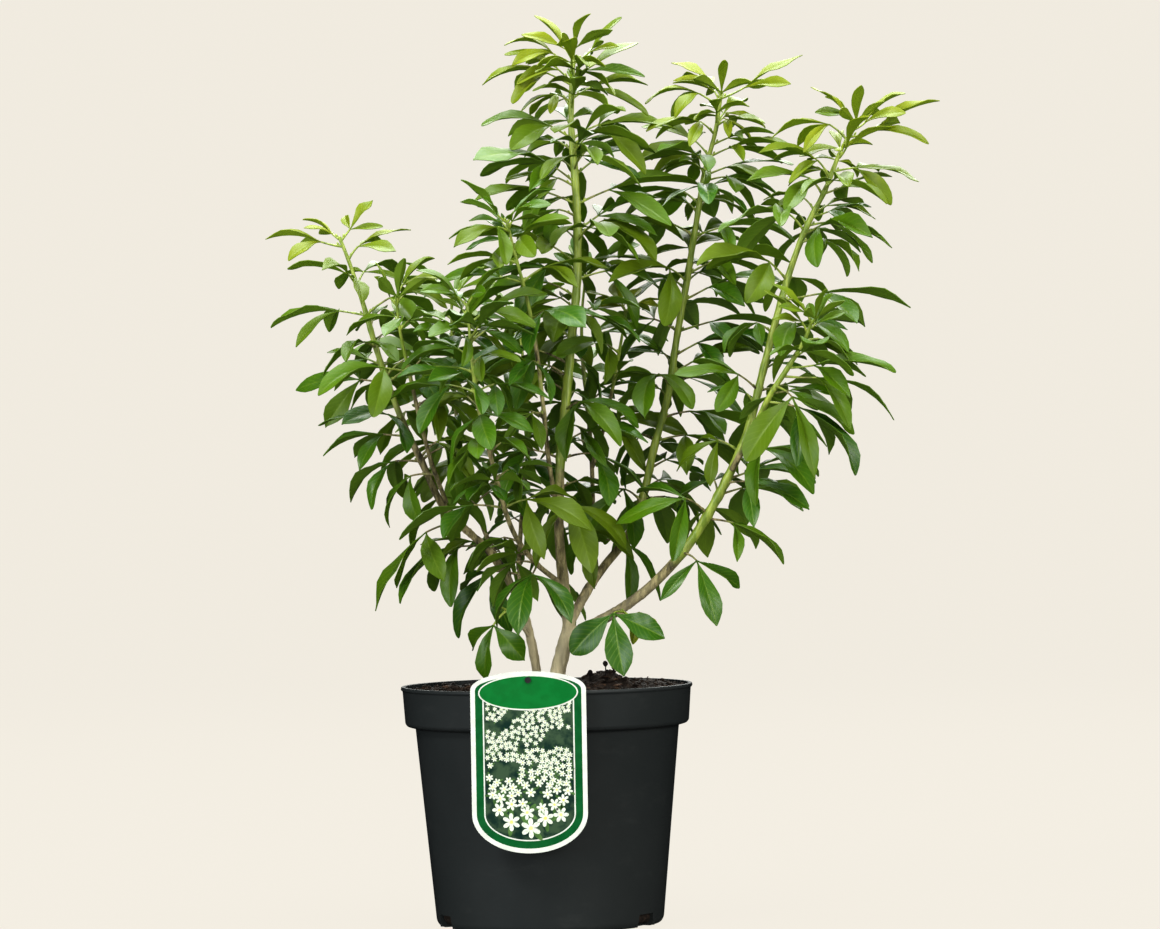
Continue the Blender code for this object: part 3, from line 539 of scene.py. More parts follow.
class Curve:
    """A smooth curve through a route's points, read by its length from the first one."""

    def __init__(self, route):
        points = [Vector(point) for point in route]
        ends = [2 * points[0] - points[1]] + points + [2 * points[-1] - points[-2]]
        self.points = []
        for before, start, end, after in zip(ends, ends[1:], ends[2:], ends[3:]):
            for step in range(CURVE_STEPS):
                t = step / CURVE_STEPS
                bend = 2 * before - 5 * start + 4 * end - after
                twist = 3 * start - before - 3 * end + after
                self.points.append(start + ((end - before) * t + bend * t ** 2 + twist * t ** 3) / 2)
        self.points.append(points[-1])
        self.marks = [0.0]
        for first, second in zip(self.points, self.points[1:]):
            self.marks.append(self.marks[-1] + (second - first).length)
        self.length = self.marks[-1]

    def at(self, length):
        """The point at a length, and the direction there."""
        last = len(self.points) - 2
        index = next((i for i, mark in enumerate(self.marks[1:]) if mark >= length), last)
        run = self.points[index + 1] - self.points[index]
        part = (length - self.marks[index]) / run.length
        return self.points[index] + run * part, run.normalized()


class Branch:
    """A stem in place: the rings of its wood and of its leafy part, and its radius along it."""

    def __init__(self, stem, route=None):
        self.curve = Curve(route or stem.route)
        self.radii = stem.radii
        self.wood = stem.wood
        self.leafy = stem.wood + GAP if stem.wood else 0.0
        self.wood_marks = ring_marks(0.0, self.wood, RING_STEP / 2) if self.wood else []
        self.leafy_marks = ring_marks(self.leafy, self.curve.length, RING_STEP)

    def radius(self, length):
        """The stem's radius at a length."""
        foot, middle, tip = self.radii
        if length < self.wood:
            return foot + (middle - foot) * length / self.wood
        return middle + (tip - middle) * (length - self.wood) / (self.curve.length - self.wood)

    def at(self, length):
        """The point on the line through the rings at a length, and the direction there."""
        marks = self.wood_marks + self.leafy_marks
        index = max((i for i, mark in enumerate(marks[:-1]) if mark <= length), default=0)
        near, far = self.curve.at(marks[index])[0], self.curve.at(marks[index + 1])[0]
        part = (length - marks[index]) / (marks[index + 1] - marks[index])
        return near.lerp(far, part), (far - near).normalized()

    def best_length(self, badness):
        """The length, to a millimetre, at which a measure of the place there is least."""
        return min(range(int(self.curve.length)), key=lambda length: badness(self.at(length)[0]))

    def share_of(self, length):
        """A length as a share of the leafy part, from 0 at its foot to 1 at the tip."""
        return (length - self.leafy) / (self.curve.length - self.leafy)

    def coarse_tube(self, marks, sides):
        """The plain tube of the frame, swollen by the margin, for the test of what a leaf touches."""
        shape = bmesh.new()
        centres, ways = zip(*[self.curve.at(mark) for mark in marks])
        add_tube(shape, centres, ways, [self.radius(mark) + MARGIN for mark in marks], sides)
        return shape


def ring_marks(start, stop, step):
    """Even places from start to stop, about a step apart."""
    count = max(2, round((stop - start) / step))
    return [start + (stop - start) * i / count for i in range(count + 1)]


def seat_on(stem, parent):
    """Starts a side stem on its parent's bark, where the frame's stem has its foot."""
    foot = Vector(stem.route[0])
    length = parent.best_length(lambda place: (place - foot).length)
    centre, along = parent.at(length)
    way = (Vector(stem.route[1]) - centre).normalized()
    outward = (way - along * way.dot(along)).normalized()
    clear = parent.radius(length) + GAP
    return Branch(stem, [centre + way * clear / way.dot(outward)] + list(stem.route[1:]))


def grow_stems():
    """Places every stem: on its own route where it has wood, or else seated on its parent."""
    branches = {}
    for name, stem in STEMS.items():
        branches[name] = Branch(stem) if stem.wood else seat_on(stem, branches[stem.parent])
    return branches


def frame_at(centre, way, across, size):
    """A placement with Z along the way, X along across, at that size."""
    turn = Matrix((across, way.cross(across), way)).transposed().to_4x4()
    return Matrix.Translation(centre) @ turn @ Matrix.Scale(size, 4)


def add_tube(shape, centres, ways, radii, sides):
    """A closed tube: a disc at its first centre, drawn on from ring to ring. Returns the rings."""
    across = ways[0].orthogonal().normalized()
    place = frame_at(centres[0], ways[0], across, radii[0])
    disc = bmesh.ops.create_circle(shape, cap_ends=True, radius=1, segments=sides, matrix=place)["verts"]
    edges = [edge for edge in disc[0].link_faces[0].edges]
    rings = [disc]
    for centre, way, radius in zip(centres[1:], ways[1:], radii[1:]):
        across = (across - way * across.dot(way)).normalized()
        grown = bmesh.ops.extrude_edge_only(shape, edges=edges)["geom"]
        ring = [item for item in grown if isinstance(item, bmesh.types.BMVert)]
        edges = [item for item in grown if isinstance(item, bmesh.types.BMEdge)
                 and item.verts[0] in ring and item.verts[1] in ring]
        following = frame_at(centre, way, across, radius)
        bmesh.ops.transform(shape, matrix=following @ place.inverted(), verts=ring)
        place = following
        rings.append(ring)
    bmesh.ops.contextual_create(shape, geom=edges)
    return rings


def coarse_leaflet(points, faces, base, leaf, way, normal, length, swell):
    """The frame's plain blade, on a root of four corners: right, left, and both beneath."""
    root = (points[base[0]] + points[base[1]]) / 2
    left = normal.cross(way).normalized()
    thick = BLADE + 2 * swell
    reach = length / leaf.arch

    def add(share, width, side):
        turn = leaf.arch * share
        face_up = normal * math.cos(turn) + way * math.sin(turn)
        centre = root + way * math.sin(turn) * reach - normal * (1 - math.cos(turn)) * reach
        half = HALF_WIDTH * length * width + swell
        points.append(centre + left * side * half)
        points.append(centre + left * side * half - face_up * thick)
        return len(points) - 2

    right_0, left_0, right_under, left_under = base
    below = {right_0: right_under, left_0: left_under}
    (near, near_width), (far, far_width) = STATIONS
    right_1, left_1 = add(near, near_width, -1), add(near, near_width, 1)
    right_2, left_2 = add(far, far_width, -1), add(far, far_width, 1)
    tip = add(1 + swell / length, 0, 0)
    top = [(right_0, right_1, left_1), (right_0, left_1, left_0),
           (right_1, right_2, left_2), (right_1, left_2, left_1), (right_2, tip, left_2)]
    rim = [right_0, right_1, right_2, tip, left_2, left_1, left_0]
    faces.extend(top)
    faces.extend(tuple(below.get(corner, corner + 1) for corner in reversed(face)) for face in top)
    for first, second in zip(rim, rim[1:]):
        first_under = below.get(first, first + 1)
        second_under = below.get(second, second + 1)
        faces.append((first_under, second_under, second))
        faces.append((first_under, second, first))


def side_frame(leaf, side):
    """The way a side leaflet points and the way its face looks. Side is 1 for left and -1 for right."""
    left = leaf.normal.cross(leaf.axis).normalized()
    way = leaf.axis * math.cos(leaf.spread) + left * side * math.sin(leaf.spread)
    way = (way * math.cos(leaf.sag) - leaf.normal * math.sin(leaf.sag)).normalized()
    return way, (leaf.normal - way * leaf.normal.dot(way)).normalized()


def coarse_leaf(leaf, swell=0.0, stalked=True):
    """The frame's plain leaf as points and triangles, only to test what a leaf would touch."""
    left = leaf.normal.cross(leaf.axis).normalized()
    hub = leaf.root + leaf.leave * leaf.petiole
    thick = BLADE + 2 * swell
    half = HUB_HALF + swell
    points = []
    for back, side in ((-1, -1), (-1, 1), (1, -1), (1, 1)):
        corner = hub + (leaf.axis * back + left * side) * half + leaf.normal * swell
        points.append(corner)
        points.append(corner - leaf.normal * thick)
    back_right, back_left, front_right, front_left = 0, 2, 4, 6
    faces = [(back_right, front_right, front_left), (back_right, front_left, back_left),
             (back_right + 1, front_left + 1, front_right + 1),
             (back_right + 1, back_left + 1, front_left + 1)]
    coarse_leaflet(points, faces, (front_right, front_left, front_right + 1, front_left + 1), leaf,
                   leaf.axis, leaf.normal, leaf.size, swell)
    for side, base in ((1, (front_left, back_left, front_left + 1, back_left + 1)),
                       (-1, (back_right, front_right, back_right + 1, front_right + 1))):
        way, face_up = side_frame(leaf, side)
        coarse_leaflet(points, faces, base, leaf, way, face_up, leaf.size * SIDE_LEAFLET, swell)
    hub_end = [back_right, back_left, back_left + 1, back_right + 1]
    if not stalked:
        faces.append((hub_end[0], hub_end[1], hub_end[2]))
        faces.append((hub_end[0], hub_end[2], hub_end[3]))
        return points, faces
    root_end = list(range(len(points), len(points) + 4))
    half_width = PETIOLE_WIDTH / 2 + swell
    face_up = leaf.leave.cross(left).normalized()
    face_up = face_up if face_up.dot(leaf.normal) > 0 else -face_up
    for side, rise in ((-1, 1), (1, 1), (1, -1), (-1, -1)):
        points.append(leaf.root + (left * side + face_up * rise * PETIOLE_FLATNESS) * half_width)
    for corner in range(4):
        after = (corner + 1) % 4
        faces.append((root_end[corner], hub_end[corner], hub_end[after]))
        faces.append((root_end[corner], hub_end[after], root_end[after]))
    faces.append((root_end[0], root_end[1], root_end[2]))
    faces.append((root_end[0], root_end[2], root_end[3]))
    return points, faces


def leaf_at(branch, length, azimuth, lift, size, arch, roll, young=0.0, sunward=SUNWARD):
    """A leaf on a stem at a length along it. Its blades turn their faces up and a little to the light."""
    place, along = branch.at(length)
    angle = math.radians(azimuth)
    outward = Vector((math.cos(angle), math.sin(angle), 0))
    radial = (outward - along * outward.dot(along)).normalized()
    rise = math.radians(lift)
    axis = outward * math.cos(rise) + UP * math.sin(rise)
    level = UP * math.cos(rise) - outward * math.sin(rise) + sunward
    level = (level - axis * level.dot(axis)).normalized()
    turn = math.radians(roll)
    leave = (radial * LEAVE_OUTWARD + along * (LEAVE_ALONG + LEAVE_ALONG_YOUNG * young)
             + axis * LEAVE_LEVEL)
    return Leaf(
        root=place + radial * branch.radius(length) * ROOT_DEPTH,
        leave=leave.normalized(),
        petiole=branch.radius(length) + size * aged(STALK, young),
        axis=axis,
        normal=(level * math.cos(turn) + axis.cross(level) * math.sin(turn)).normalized(),
        size=size,
        arch=math.radians(arch),
        spread=math.radians(aged(SPREAD, young)),
        sag=math.radians(aged(SAG, young)),
        share=branch.share_of(length),
    )


def ruled_leaf(branch, size, share, azimuth, draw, attempt):
    """A leaf by the rule: upright and small at the tip, level further down, hanging at the foot."""
    length = branch.leafy + (branch.curve.length - branch.leafy) * min(share, LAST_SHARE)
    young = max(0.0, (share - YOUNG_FROM) / (1 - YOUNG_FROM))
    old = max(0.0, (OLD_UNTIL - share) / OLD_UNTIL)
    shift = TRY_TURN * ((attempt + 1) // 2) * (1 if attempt % 2 else -1)
    lift = aged(LIFT, young ** 1.5, old) + draw.uniform(*LIFT_DRAW) - TRY_LOWER * attempt
    size = size * aged(SIZE, young ** 1.3) * draw.uniform(*SIZE_DRAW) * TRY_SHRINK ** attempt
    arch = aged(ARCH, young, old) + draw.uniform(*ARCH_DRAW)
    return leaf_at(branch, length, azimuth + shift, lift, size, arch, draw.uniform(*ROLL_DRAW), young)


class Thicket:
    """What is placed so far, so that a new leaf can be tested against all of it."""

    def __init__(self):
        self.pieces = []

    def read(self, points, faces):
        """A shape's centre, how far it reaches from there, and its triangles made ready for the test."""
        centre = sum(points, Vector()) / len(points)
        reach = max((point - centre).length for point in points)
        return centre, reach, BVHTree.FromPolygons(points, faces, all_triangles=True)

    def add(self, owner, points, faces):
        self.pieces.append((owner, *self.read(points, faces)))

    def clear_of(self, points, faces, skip=None):
        """Whether a shape touches nothing but what the skipped owner has placed."""
        centre, reach, tree = self.read(points, faces)
        for owner, other_centre, other_reach, other in self.pieces:
            near = (centre - other_centre).length < reach + other_reach
            if owner != skip and near and tree.overlap(other):
                return False
        return True


def seen_at(point):
    """Where the camera sees a point, in millimetres at the pot's axis, and its distance."""
    away = point.y - EYE[1]
    return Vector(((point.x - EYE[0]) / away, (point.z - EYE[2]) / away)) * -EYE[1], away


class Foliage:
    """Every leaf of the plant, by its stem: those of the frame first, then the ones between."""

    def __init__(self, branches):
        self.branches = branches
        self.thicket = Thicket()
        self.open_marks = []
        for name, height in OPEN_STEMS:
            curve = branches[name].curve
            places = [curve.at(mark)[0] for mark in ring_marks(branches[name].leafy, curve.length, OPEN_STEP)]
            self.open_marks += [seen_at(place) for place in places if place.z < height]
        for name, branch in branches.items():
            self.thicket.add(name, *read_shape(branch.coarse_tube(branch.leafy_marks, STEM_SIDES)))
            if branch.wood:
                wood = branch.coarse_tube(branch.wood_marks, WOOD_SIDES)
                self.thicket.add(name + " wood", *read_shape(wood))
        self.leaves = {name: [] for name in STEMS}

    def settle(self, name, leaf, margin=MARGIN):
        """Keeps a leaf if it touches nothing but its own stem, and says whether it did."""
        blades = coarse_leaf(leaf, margin, stalked=False)
        whole = coarse_leaf(leaf, margin)
        clear = self.thicket.clear_of(*blades) and self.thicket.clear_of(*whole, skip=name)
        if clear:
            self.thicket.add(name + " leaf", *coarse_leaf(leaf))
            self.leaves[name].append(leaf)
        return clear

    def hides_stem(self, leaf):
        """Whether a leaf, seen from the front, would lie across a stem that stays in view."""
        hub = leaf.root + leaf.leave * leaf.petiole
        ways = [(leaf.axis, leaf.size)]
        ways += [(side_frame(leaf, side)[0], leaf.size * SIDE_LEAFLET) for side in (1, -1)]
        for way, length in ways:
            for share in OPEN_SHARES:
                seen, away = seen_at(hub + way * length * share)
                reach = OPEN_WIDTH + HALF_WIDTH * length
                if any(away < stem_away and (seen - mark).length < reach
                       for mark, stem_away in self.open_marks):
                    return True
        return False

    def settle_lone(self):
        """Sets the leaves that stand out by themselves."""
        for name, height, azimuth, lift, size, arch, roll in LONE_LEAVES:
            branch = self.branches[name]
            length = branch.best_length(lambda place: abs(place.z - height))
            for shift in LONE_TURNS:
                if self.settle(name, leaf_at(branch, length, azimuth + shift, lift, size, arch, roll)):
                    break

    def settle_pairs(self):
        """Walks up each stem setting pairs, each a quarter turn on from the last."""
        for name, stem in STEMS.items():
            draw = random.Random(name)
            for pair in range(stem.pairs):
                part = pair / (stem.pairs - 1)
                share = stem.first + (1 - stem.first) * part * (1 + CROWDING * (1 - part))
                for half_turn in (0, 180):
                    azimuth = stem.turn + 90 * pair + half_turn + draw.uniform(*TURN_DRAW)
                    for attempt in range(TRIES):
                        leaf = ruled_leaf(self.branches[name], stem.size, share, azimuth, draw, attempt)
                        if self.settle(name, leaf):
                            break

    def settle_tufts(self):
        """Sets small upright leaves round every tip."""
        for name, stem in STEMS.items():
            draw = random.Random("tuft " + name)
            branch = self.branches[name]
            for turn in range(SPARSE_TUFTS.get(name, TUFT_LEAVES) if stem.pairs else 0):
                for attempt in range(FILL_TRIES):
                    length = branch.curve.length - draw.uniform(*TUFT_DEPTH)
                    leaf = leaf_at(branch, length, draw.uniform(0, 360), draw.uniform(*TUFT_LIFT),
                                   stem.size * draw.uniform(*TUFT_SIZE), draw.uniform(*TUFT_ARCH),
                                   draw.uniform(*ROLL_DRAW), 1.0)
                    if self.settle(name, leaf, 0.0):
                        break

    def fill(self):
        """Sets more leaves between the pairs of every stem, and close round the tops of the tallest."""
        for name, stem in STEMS.items():
            count = stem.pairs * FILL_PER_PAIR.get(name, FILL_PER_PAIR_ELSEWHERE)
            self.fill_part(name, stem.first, FILL_UNTIL.get(name, 1.0), count)
        for name, low, high, count in CROWNS:
            self.fill_part(name, low, high, count)

    def fill_part(self, name, low, high, count):
        """Tries leaves anywhere between two shares of a stem's length, the largest first."""
        stem, branch = STEMS[name], self.branches[name]
        draw = random.Random(f"fill {name} {count}")
        for turn in range(count):
            share = draw.uniform(low, high)
            part = FILL_SIZE[1] + (FILL_SIZE[0] - FILL_SIZE[1]) * turn / count
            size = stem.size * part * aged(SIZE, max(0.0, share - YOUNG_FROM) * FILL_SHRINK)
            length = branch.leafy + (branch.curve.length - branch.leafy) * share
            for attempt in range(FILL_TRIES):
                leaf = leaf_at(branch, length, draw.uniform(0, 360), draw.uniform(*FILL_LIFT), size,
                               aged(ARCH, 0.0) + draw.uniform(*ARCH_DRAW), draw.uniform(*ROLL_DRAW),
                               FILL_YOUTH, FILL_SUNWARD)
                if not self.hides_stem(leaf) and self.settle(name, leaf, 0.0):
                    break


def read_shape(shape):
    """A bmesh's points and triangles, as lists."""
    bmesh.ops.triangulate(shape, faces=shape.faces)
    shape.verts.index_update()
    points = [point.co.copy() for point in shape.verts]
    faces = [[corner.index for corner in face.verts] for face in shape.faces]
    shape.free()
    return points, faces


def pour(shape, part):
    """Adds a part to a shape, and drops the part."""
    mesh = bpy.data.meshes.new("part")
    part.to_mesh(mesh)
    part.free()
    shape.from_mesh(mesh)
    bpy.data.meshes.remove(mesh)


def make_many(shape, count, make):
    """Makes many small things a batch at a time, which is quicker than all in one large mesh."""
    for start in range(0, count, BATCH):
        batch = bmesh.new()
        for index in range(start, min(start + BATCH, count)):
            make(batch)
        pour(shape, batch)


def resize(shape, factor):
    """Scales a shape about the origin."""
    bmesh.ops.scale(shape, vec=(factor, factor, factor), verts=shape.verts)


def set_finish(points, finish):
    """Gives the faces at some points the finish with that place in the piece's list."""
    for face in {face for point in points for face in point.link_faces}:
        face.material_index = finish


def make_mesh(name, shape, finishes, smooth_angle=50):
    """Turns a bmesh in millimetres into a mesh in metres, smooth but at its sharp edges."""
    resize(shape, MM)
    mesh = bpy.data.meshes.new(name)
    shape.to_mesh(mesh)
    shape.free()
    for finish in finishes:
        mesh.materials.append(finish)
    mesh.shade_smooth()
    mesh.set_sharp_from_angle(angle=math.radians(smooth_angle))
    return mesh


def add_object(name, data):
    """A new object in the scene: a mesh, a camera or a light."""
    made = bpy.data.objects.new(name, data)
    bpy.context.scene.collection.objects.link(made)
    return made


def settle_mesh(item):
    """Applies an object's modifiers to its mesh."""
    graph = bpy.context.evaluated_depsgraph_get()
    mesh = bpy.data.meshes.new_from_object(item.evaluated_get(graph))
    item.modifiers.clear()
    item.data = mesh


def add_piece(name, mesh, slot, *nodes):
    """A new piece of the plant, from its finished mesh."""
    piece = add_object(name, mesh)
    finish_piece(piece, slot, *nodes)
    return piece


def finish_piece(piece, slot, *nodes):
    """Ties a piece to the plant's one body and hides the nodes it stands for. The slot is not used."""
    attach(piece, "root")
    if nodes:
        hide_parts(*nodes)


# Materials


class Finish:
    """A procedural material under construction. Values given to a node may be numbers or sockets."""

    def __init__(self, name):
        self.material = bpy.data.materials.new(name)
        self.material.use_nodes = True
        self.tree = self.material.node_tree
        self.shader = self.tree.nodes["Principled BSDF"]
        self.output = self.tree.nodes["Material Output"]

    def node(self, kind, values=None, **settings):
        made = self.tree.nodes.new(kind)
        for key, value in settings.items():
            setattr(made, key, value)
        self.feed(made, values or {})
        return made

    def feed(self, node, values):
        for socket, value in values.items():
            if isinstance(value, bpy.types.NodeSocket):
                self.tree.links.new(value, node.inputs[socket])
            else:
                node.inputs[socket].default_value = value

    def shade(self, **values):
        """Sets the shader's inputs, each named with low lines for its spaces."""
        self.feed(self.shader, {name.replace("_", " "): value for name, value in values.items()})

    def place(self):
        return self.node("ShaderNodeTexCoord").outputs["Object"]

    def attribute(self, name):
        return self.node("ShaderNodeAttribute", attribute_name=name).outputs["Fac"]

    def math(self, operation, first, second=0.0):
        """A sum or other operation on two values, or on the first alone."""
        return self.node("ShaderNodeMath", {0: first, 1: second}, operation=operation).outputs[0]

    def noise(self, scale, detail=3.0, rough=0.55, stretch=(1, 1, 1)):
        moved = self.node("ShaderNodeMapping", {"Vector": self.place(), "Scale": stretch}).outputs[0]
        values = {"Vector": moved, "Scale": scale, "Detail": detail, "Roughness": rough}
        return self.node("ShaderNodeTexNoise", values).outputs["Fac"]

    def cells(self, scale):
        """How far a place lies from the nearest of some scattered spots."""
        values = {"Vector": self.place(), "Scale": scale}
        return self.node("ShaderNodeTexVoronoi", values).outputs["Distance"]

    def range(self, value, low, high, start=0.0, stop=1.0, kind="SMOOTHSTEP"):
        """A value between low and high, turned into one between start and stop."""
        values = {"Value": value, "From Min": low, "From Max": high, "To Min": start, "To Max": stop}
        return self.node("ShaderNodeMapRange", values, interpolation_type=kind).outputs["Result"]

    def ramp(self, value, *stops):
        """Colours along a value, each stop a place and a colour."""
        node = self.node("ShaderNodeValToRGB", {"Fac": value})
        band = node.color_ramp.elements
        while len(band) < len(stops):
            band.new(1.0)
        for element, (place, colour) in zip(band, stops):
            element.position = place
            element.color = (*colour, 1.0)
        return node.outputs["Color"]

    def mix(self, share, first, second):
        """The first colour, turning into the second as the share goes from 0 to 1."""
        node = self.node("ShaderNodeMix", data_type="RGBA")
        factor, low, high = node.inputs[0], node.inputs[6], node.inputs[7]
        for socket, value in ((factor, share), (low, first), (high, second)):
            if isinstance(value, bpy.types.NodeSocket):
                self.tree.links.new(value, socket)
            elif socket == factor:
                socket.default_value = value
            else:
                socket.default_value = (*value, 1.0)
        return node.outputs[2]

    def bump(self, height, depth, under=None):
        """A bump of that depth in millimetres, over another one where it is given."""
        values = {"Height": height, "Distance": depth * MM}
        if under:
            values["Normal"] = under
        return self.node("ShaderNodeBump", values).outputs["Normal"]

    def blend(self, share, first, second):
        """Gives the surface two shaders, the second with that share."""
        both = self.node("ShaderNodeMixShader", {0: share, 1: first, 2: second}).outputs[0]
        self.tree.links.new(both, self.output.inputs["Surface"])


OLD_GREEN = (0.037, 0.116, 0.001)
GREEN = (0.084, 0.178, 0.001)
FRESH_GREEN = (0.142, 0.212, 0.003)
YOUNG_GREEN = (0.270, 0.310, 0.006)
COOL_GREEN = (0.021, 0.084, 0.003)
WARM_GREEN = (0.165, 0.200, 0.002)
RIB_GREEN = (0.210, 0.300, 0.024)
UNDER_GREEN = (0.125, 0.200, 0.018)
SHINE_THROUGH = (0.320, 0.500, 0.001)
SHOOT_GREENS = ((0.13, 0.19, 0.018), (0.26, 0.32, 0.050))
BARK_COLOURS = ((0.36, (0.030, 0.024, 0.009)), (0.49, (0.135, 0.115, 0.048)), (0.64, (0.300, 0.255, 0.125)))
# Painted light: the pale colour of the trunk's foot, as if lit below the shade of the leaves
LIT_BARK_FOOT = (0.640, 0.560, 0.380)
BARK_SPOT = (0.46, 0.40, 0.30)
POT_COLOURS = ((0.0136, 0.0164, 0.0172), (0.0192, 0.0222, 0.0230))
POT_DUST = (0.12, 0.12, 0.115)

# Below, a scale is a noise's lumps in a metre, a stretch changes it along X, Y and Z, a relief is in
# millimetres, and a span is the two values between which something sets in or fades. Noise is spread
# over the first span here, or over the second for more contrast
NOISE_SPAN = (0.3, 0.7)
NOISE_CORE = (0.35, 0.65)

# A leaf's greens, from the oldest to the youngest, and how far its tone takes it to the cool or the warm
LEAF_GREENS = ((0.0, OLD_GREEN), (0.34, GREEN), (0.70, FRESH_GREEN), (1.0, YOUNG_GREEN))
MOTTLE_SCALE = 90
MOTTLE = (-0.06, 0.06)
COOL_SHARE = 0.85
WARM_SHARE = 0.45

# Its veins, by how often and how slanting they run, and what shows paler
VEIN_RATE = 60.0
VEIN_SLANT = 14.0
RIB_SPAN = (0.02, 0.10)
VEIN_SPAN = (0.72, 1.0)
VEIN_END = (0.85, 1.0)
EDGE_SPAN = (0.93, 1.0)
RIB_PALE = 0.28
VEIN_PALE = 0.19
EDGE_PALE = 0.2
UNDER_PALE = 0.55

# Its relief and shine, and the light through it, of which a leaf with a dark tone has less. The two by
# tone are a span of tones and the values at its ends
LEAF_RELIEF = 0.1
LEAF_GRAIN_SCALE = 420
LEAF_GRAIN = 0.35
VEIN_RELIEF = 0.4
UNEVEN_SCALE = 60
UNEVEN = (-0.06, 0.06)
LEAF_SPECULAR = 0.2
LEAF_COAT = 0.42
COAT_ROUGHNESS = 0.38
UNDER_ROUGHNESS = 0.58
ROUGHNESS_BY_TONE = (-0.5, 0.6, 0.5, 0.32)
THROUGH_BY_TONE = (-0.2, 0.9, 0.38, 0.14)
THROUGH_TINT = 0.35

# Shoots and bark. The trunk is painted palest at its foot, as painted light where it stands below the shade
# of the leaves, by heights in metres
PATCH_SCALE = 70
PATCHES = (-0.22, 0.22)
LINE_SCALE = 320
LINE_STRETCH = (1, 1, 0.12)
CRACK_SCALE = 260
CRACK_STRETCH = (1, 1, 0.22)
LIT_FOOT_SPAN = (0.175, 0.235)
LIT_FOOT_SHARE = 0.55
SPOT_SCALE = 420
SPOT_SPAN = (0.06, 0.16)
SPOT_SHARE = 0.5
WOODY_SPAN = (0.28, 0.72)
SHOOT_ROUGHNESS, BARK_ROUGHNESS = 0.42, 0.82
BARK_RELIEF = 0.55

# Soil: its finishes by name with a dark, a middling and a light colour, and where in a noise those lie
SOIL_FINISHES = (
    ("damp_peat", (0.005, 0.003, 0.002), (0.016, 0.010, 0.007), (0.048, 0.030, 0.020)),
    ("bark_chips", (0.014, 0.008, 0.005), (0.046, 0.025, 0.015), (0.115, 0.070, 0.042)),
    ("dark_heads", (0.005, 0.003, 0.003), (0.012, 0.007, 0.006), (0.035, 0.022, 0.018)),
)
FLECK_SCALE = 300
FLECK_STOPS = (0.30, 0.52, 0.74)
SOIL_ROUGHNESS = (0.95, 0.7)
SOIL_SPECULAR = 0.2
SOIL_GRAIN_SCALE = 900
SOIL_RELIEF = 0.5

# Pot
CLOUD_SCALE = 14
DUST_SCALE = 38
DUST_STRETCH = (1, 1, 2.5)
DUST_SPAN = (0.52, 0.78)
DUST_SHARE = 0.05
SCUFF_SCALE = 55
SCUFF_STRETCH = (1, 1, 14)
SCUFF_SPAN = (0.62, 0.72)
SCUFF_ROUGHNESS = 0.08
POT_ROUGHNESS = (0.38, 0.48)
POT_SPECULAR = 0.18
POT_GRAIN_SCALE = 1600
POT_GRAIN_RELIEF = 0.035
FLOW_SCALE = 22
FLOW_STRETCH = (1, 1, 0.25)
FLOW_RELIEF = 0.35

# The card's finishes in the order of their places: the name, the two colours that one lies between, and
# the scale of its unevenness
CARD_FINISHES = (
    ("white_card", (0.43, 0.45, 0.42), (0.48, 0.50, 0.47), 160),
    ("frame_green", (0.001, 0.064, 0.015), (0.002, 0.080, 0.019), 160),
    ("header_green", (0.001, 0.106, 0.019), (0.001, 0.122, 0.023), 160),
    ("panel_green", (0.005, 0.022, 0.016), (0.035, 0.065, 0.036), 160),
    ("printed_leaf", (0.035, 0.085, 0.022), (0.070, 0.140, 0.042), 160),
    ("printed_heart", (0.45, 0.45, 0.12), (0.60, 0.58, 0.22), 160),
    ("printed_petal", (0.38, 0.43, 0.36), (0.58, 0.60, 0.54), 900),
)
SHEEN_SCALE = 40
CARD_ROUGHNESS = (0.34, 0.46)
CARD_SPECULAR = 0.12
CARD_GRAIN_SCALE = 700
CARD_RELIEF = 0.01

# Clip
CLIP_COLOURS = ((0.008, 0.008, 0.009), (0.018, 0.018, 0.019))
CLIP_SCALE = 120
CLIP_ROUGHNESS = (0.3, 0.45)
CLIP_RELIEF = 0.05


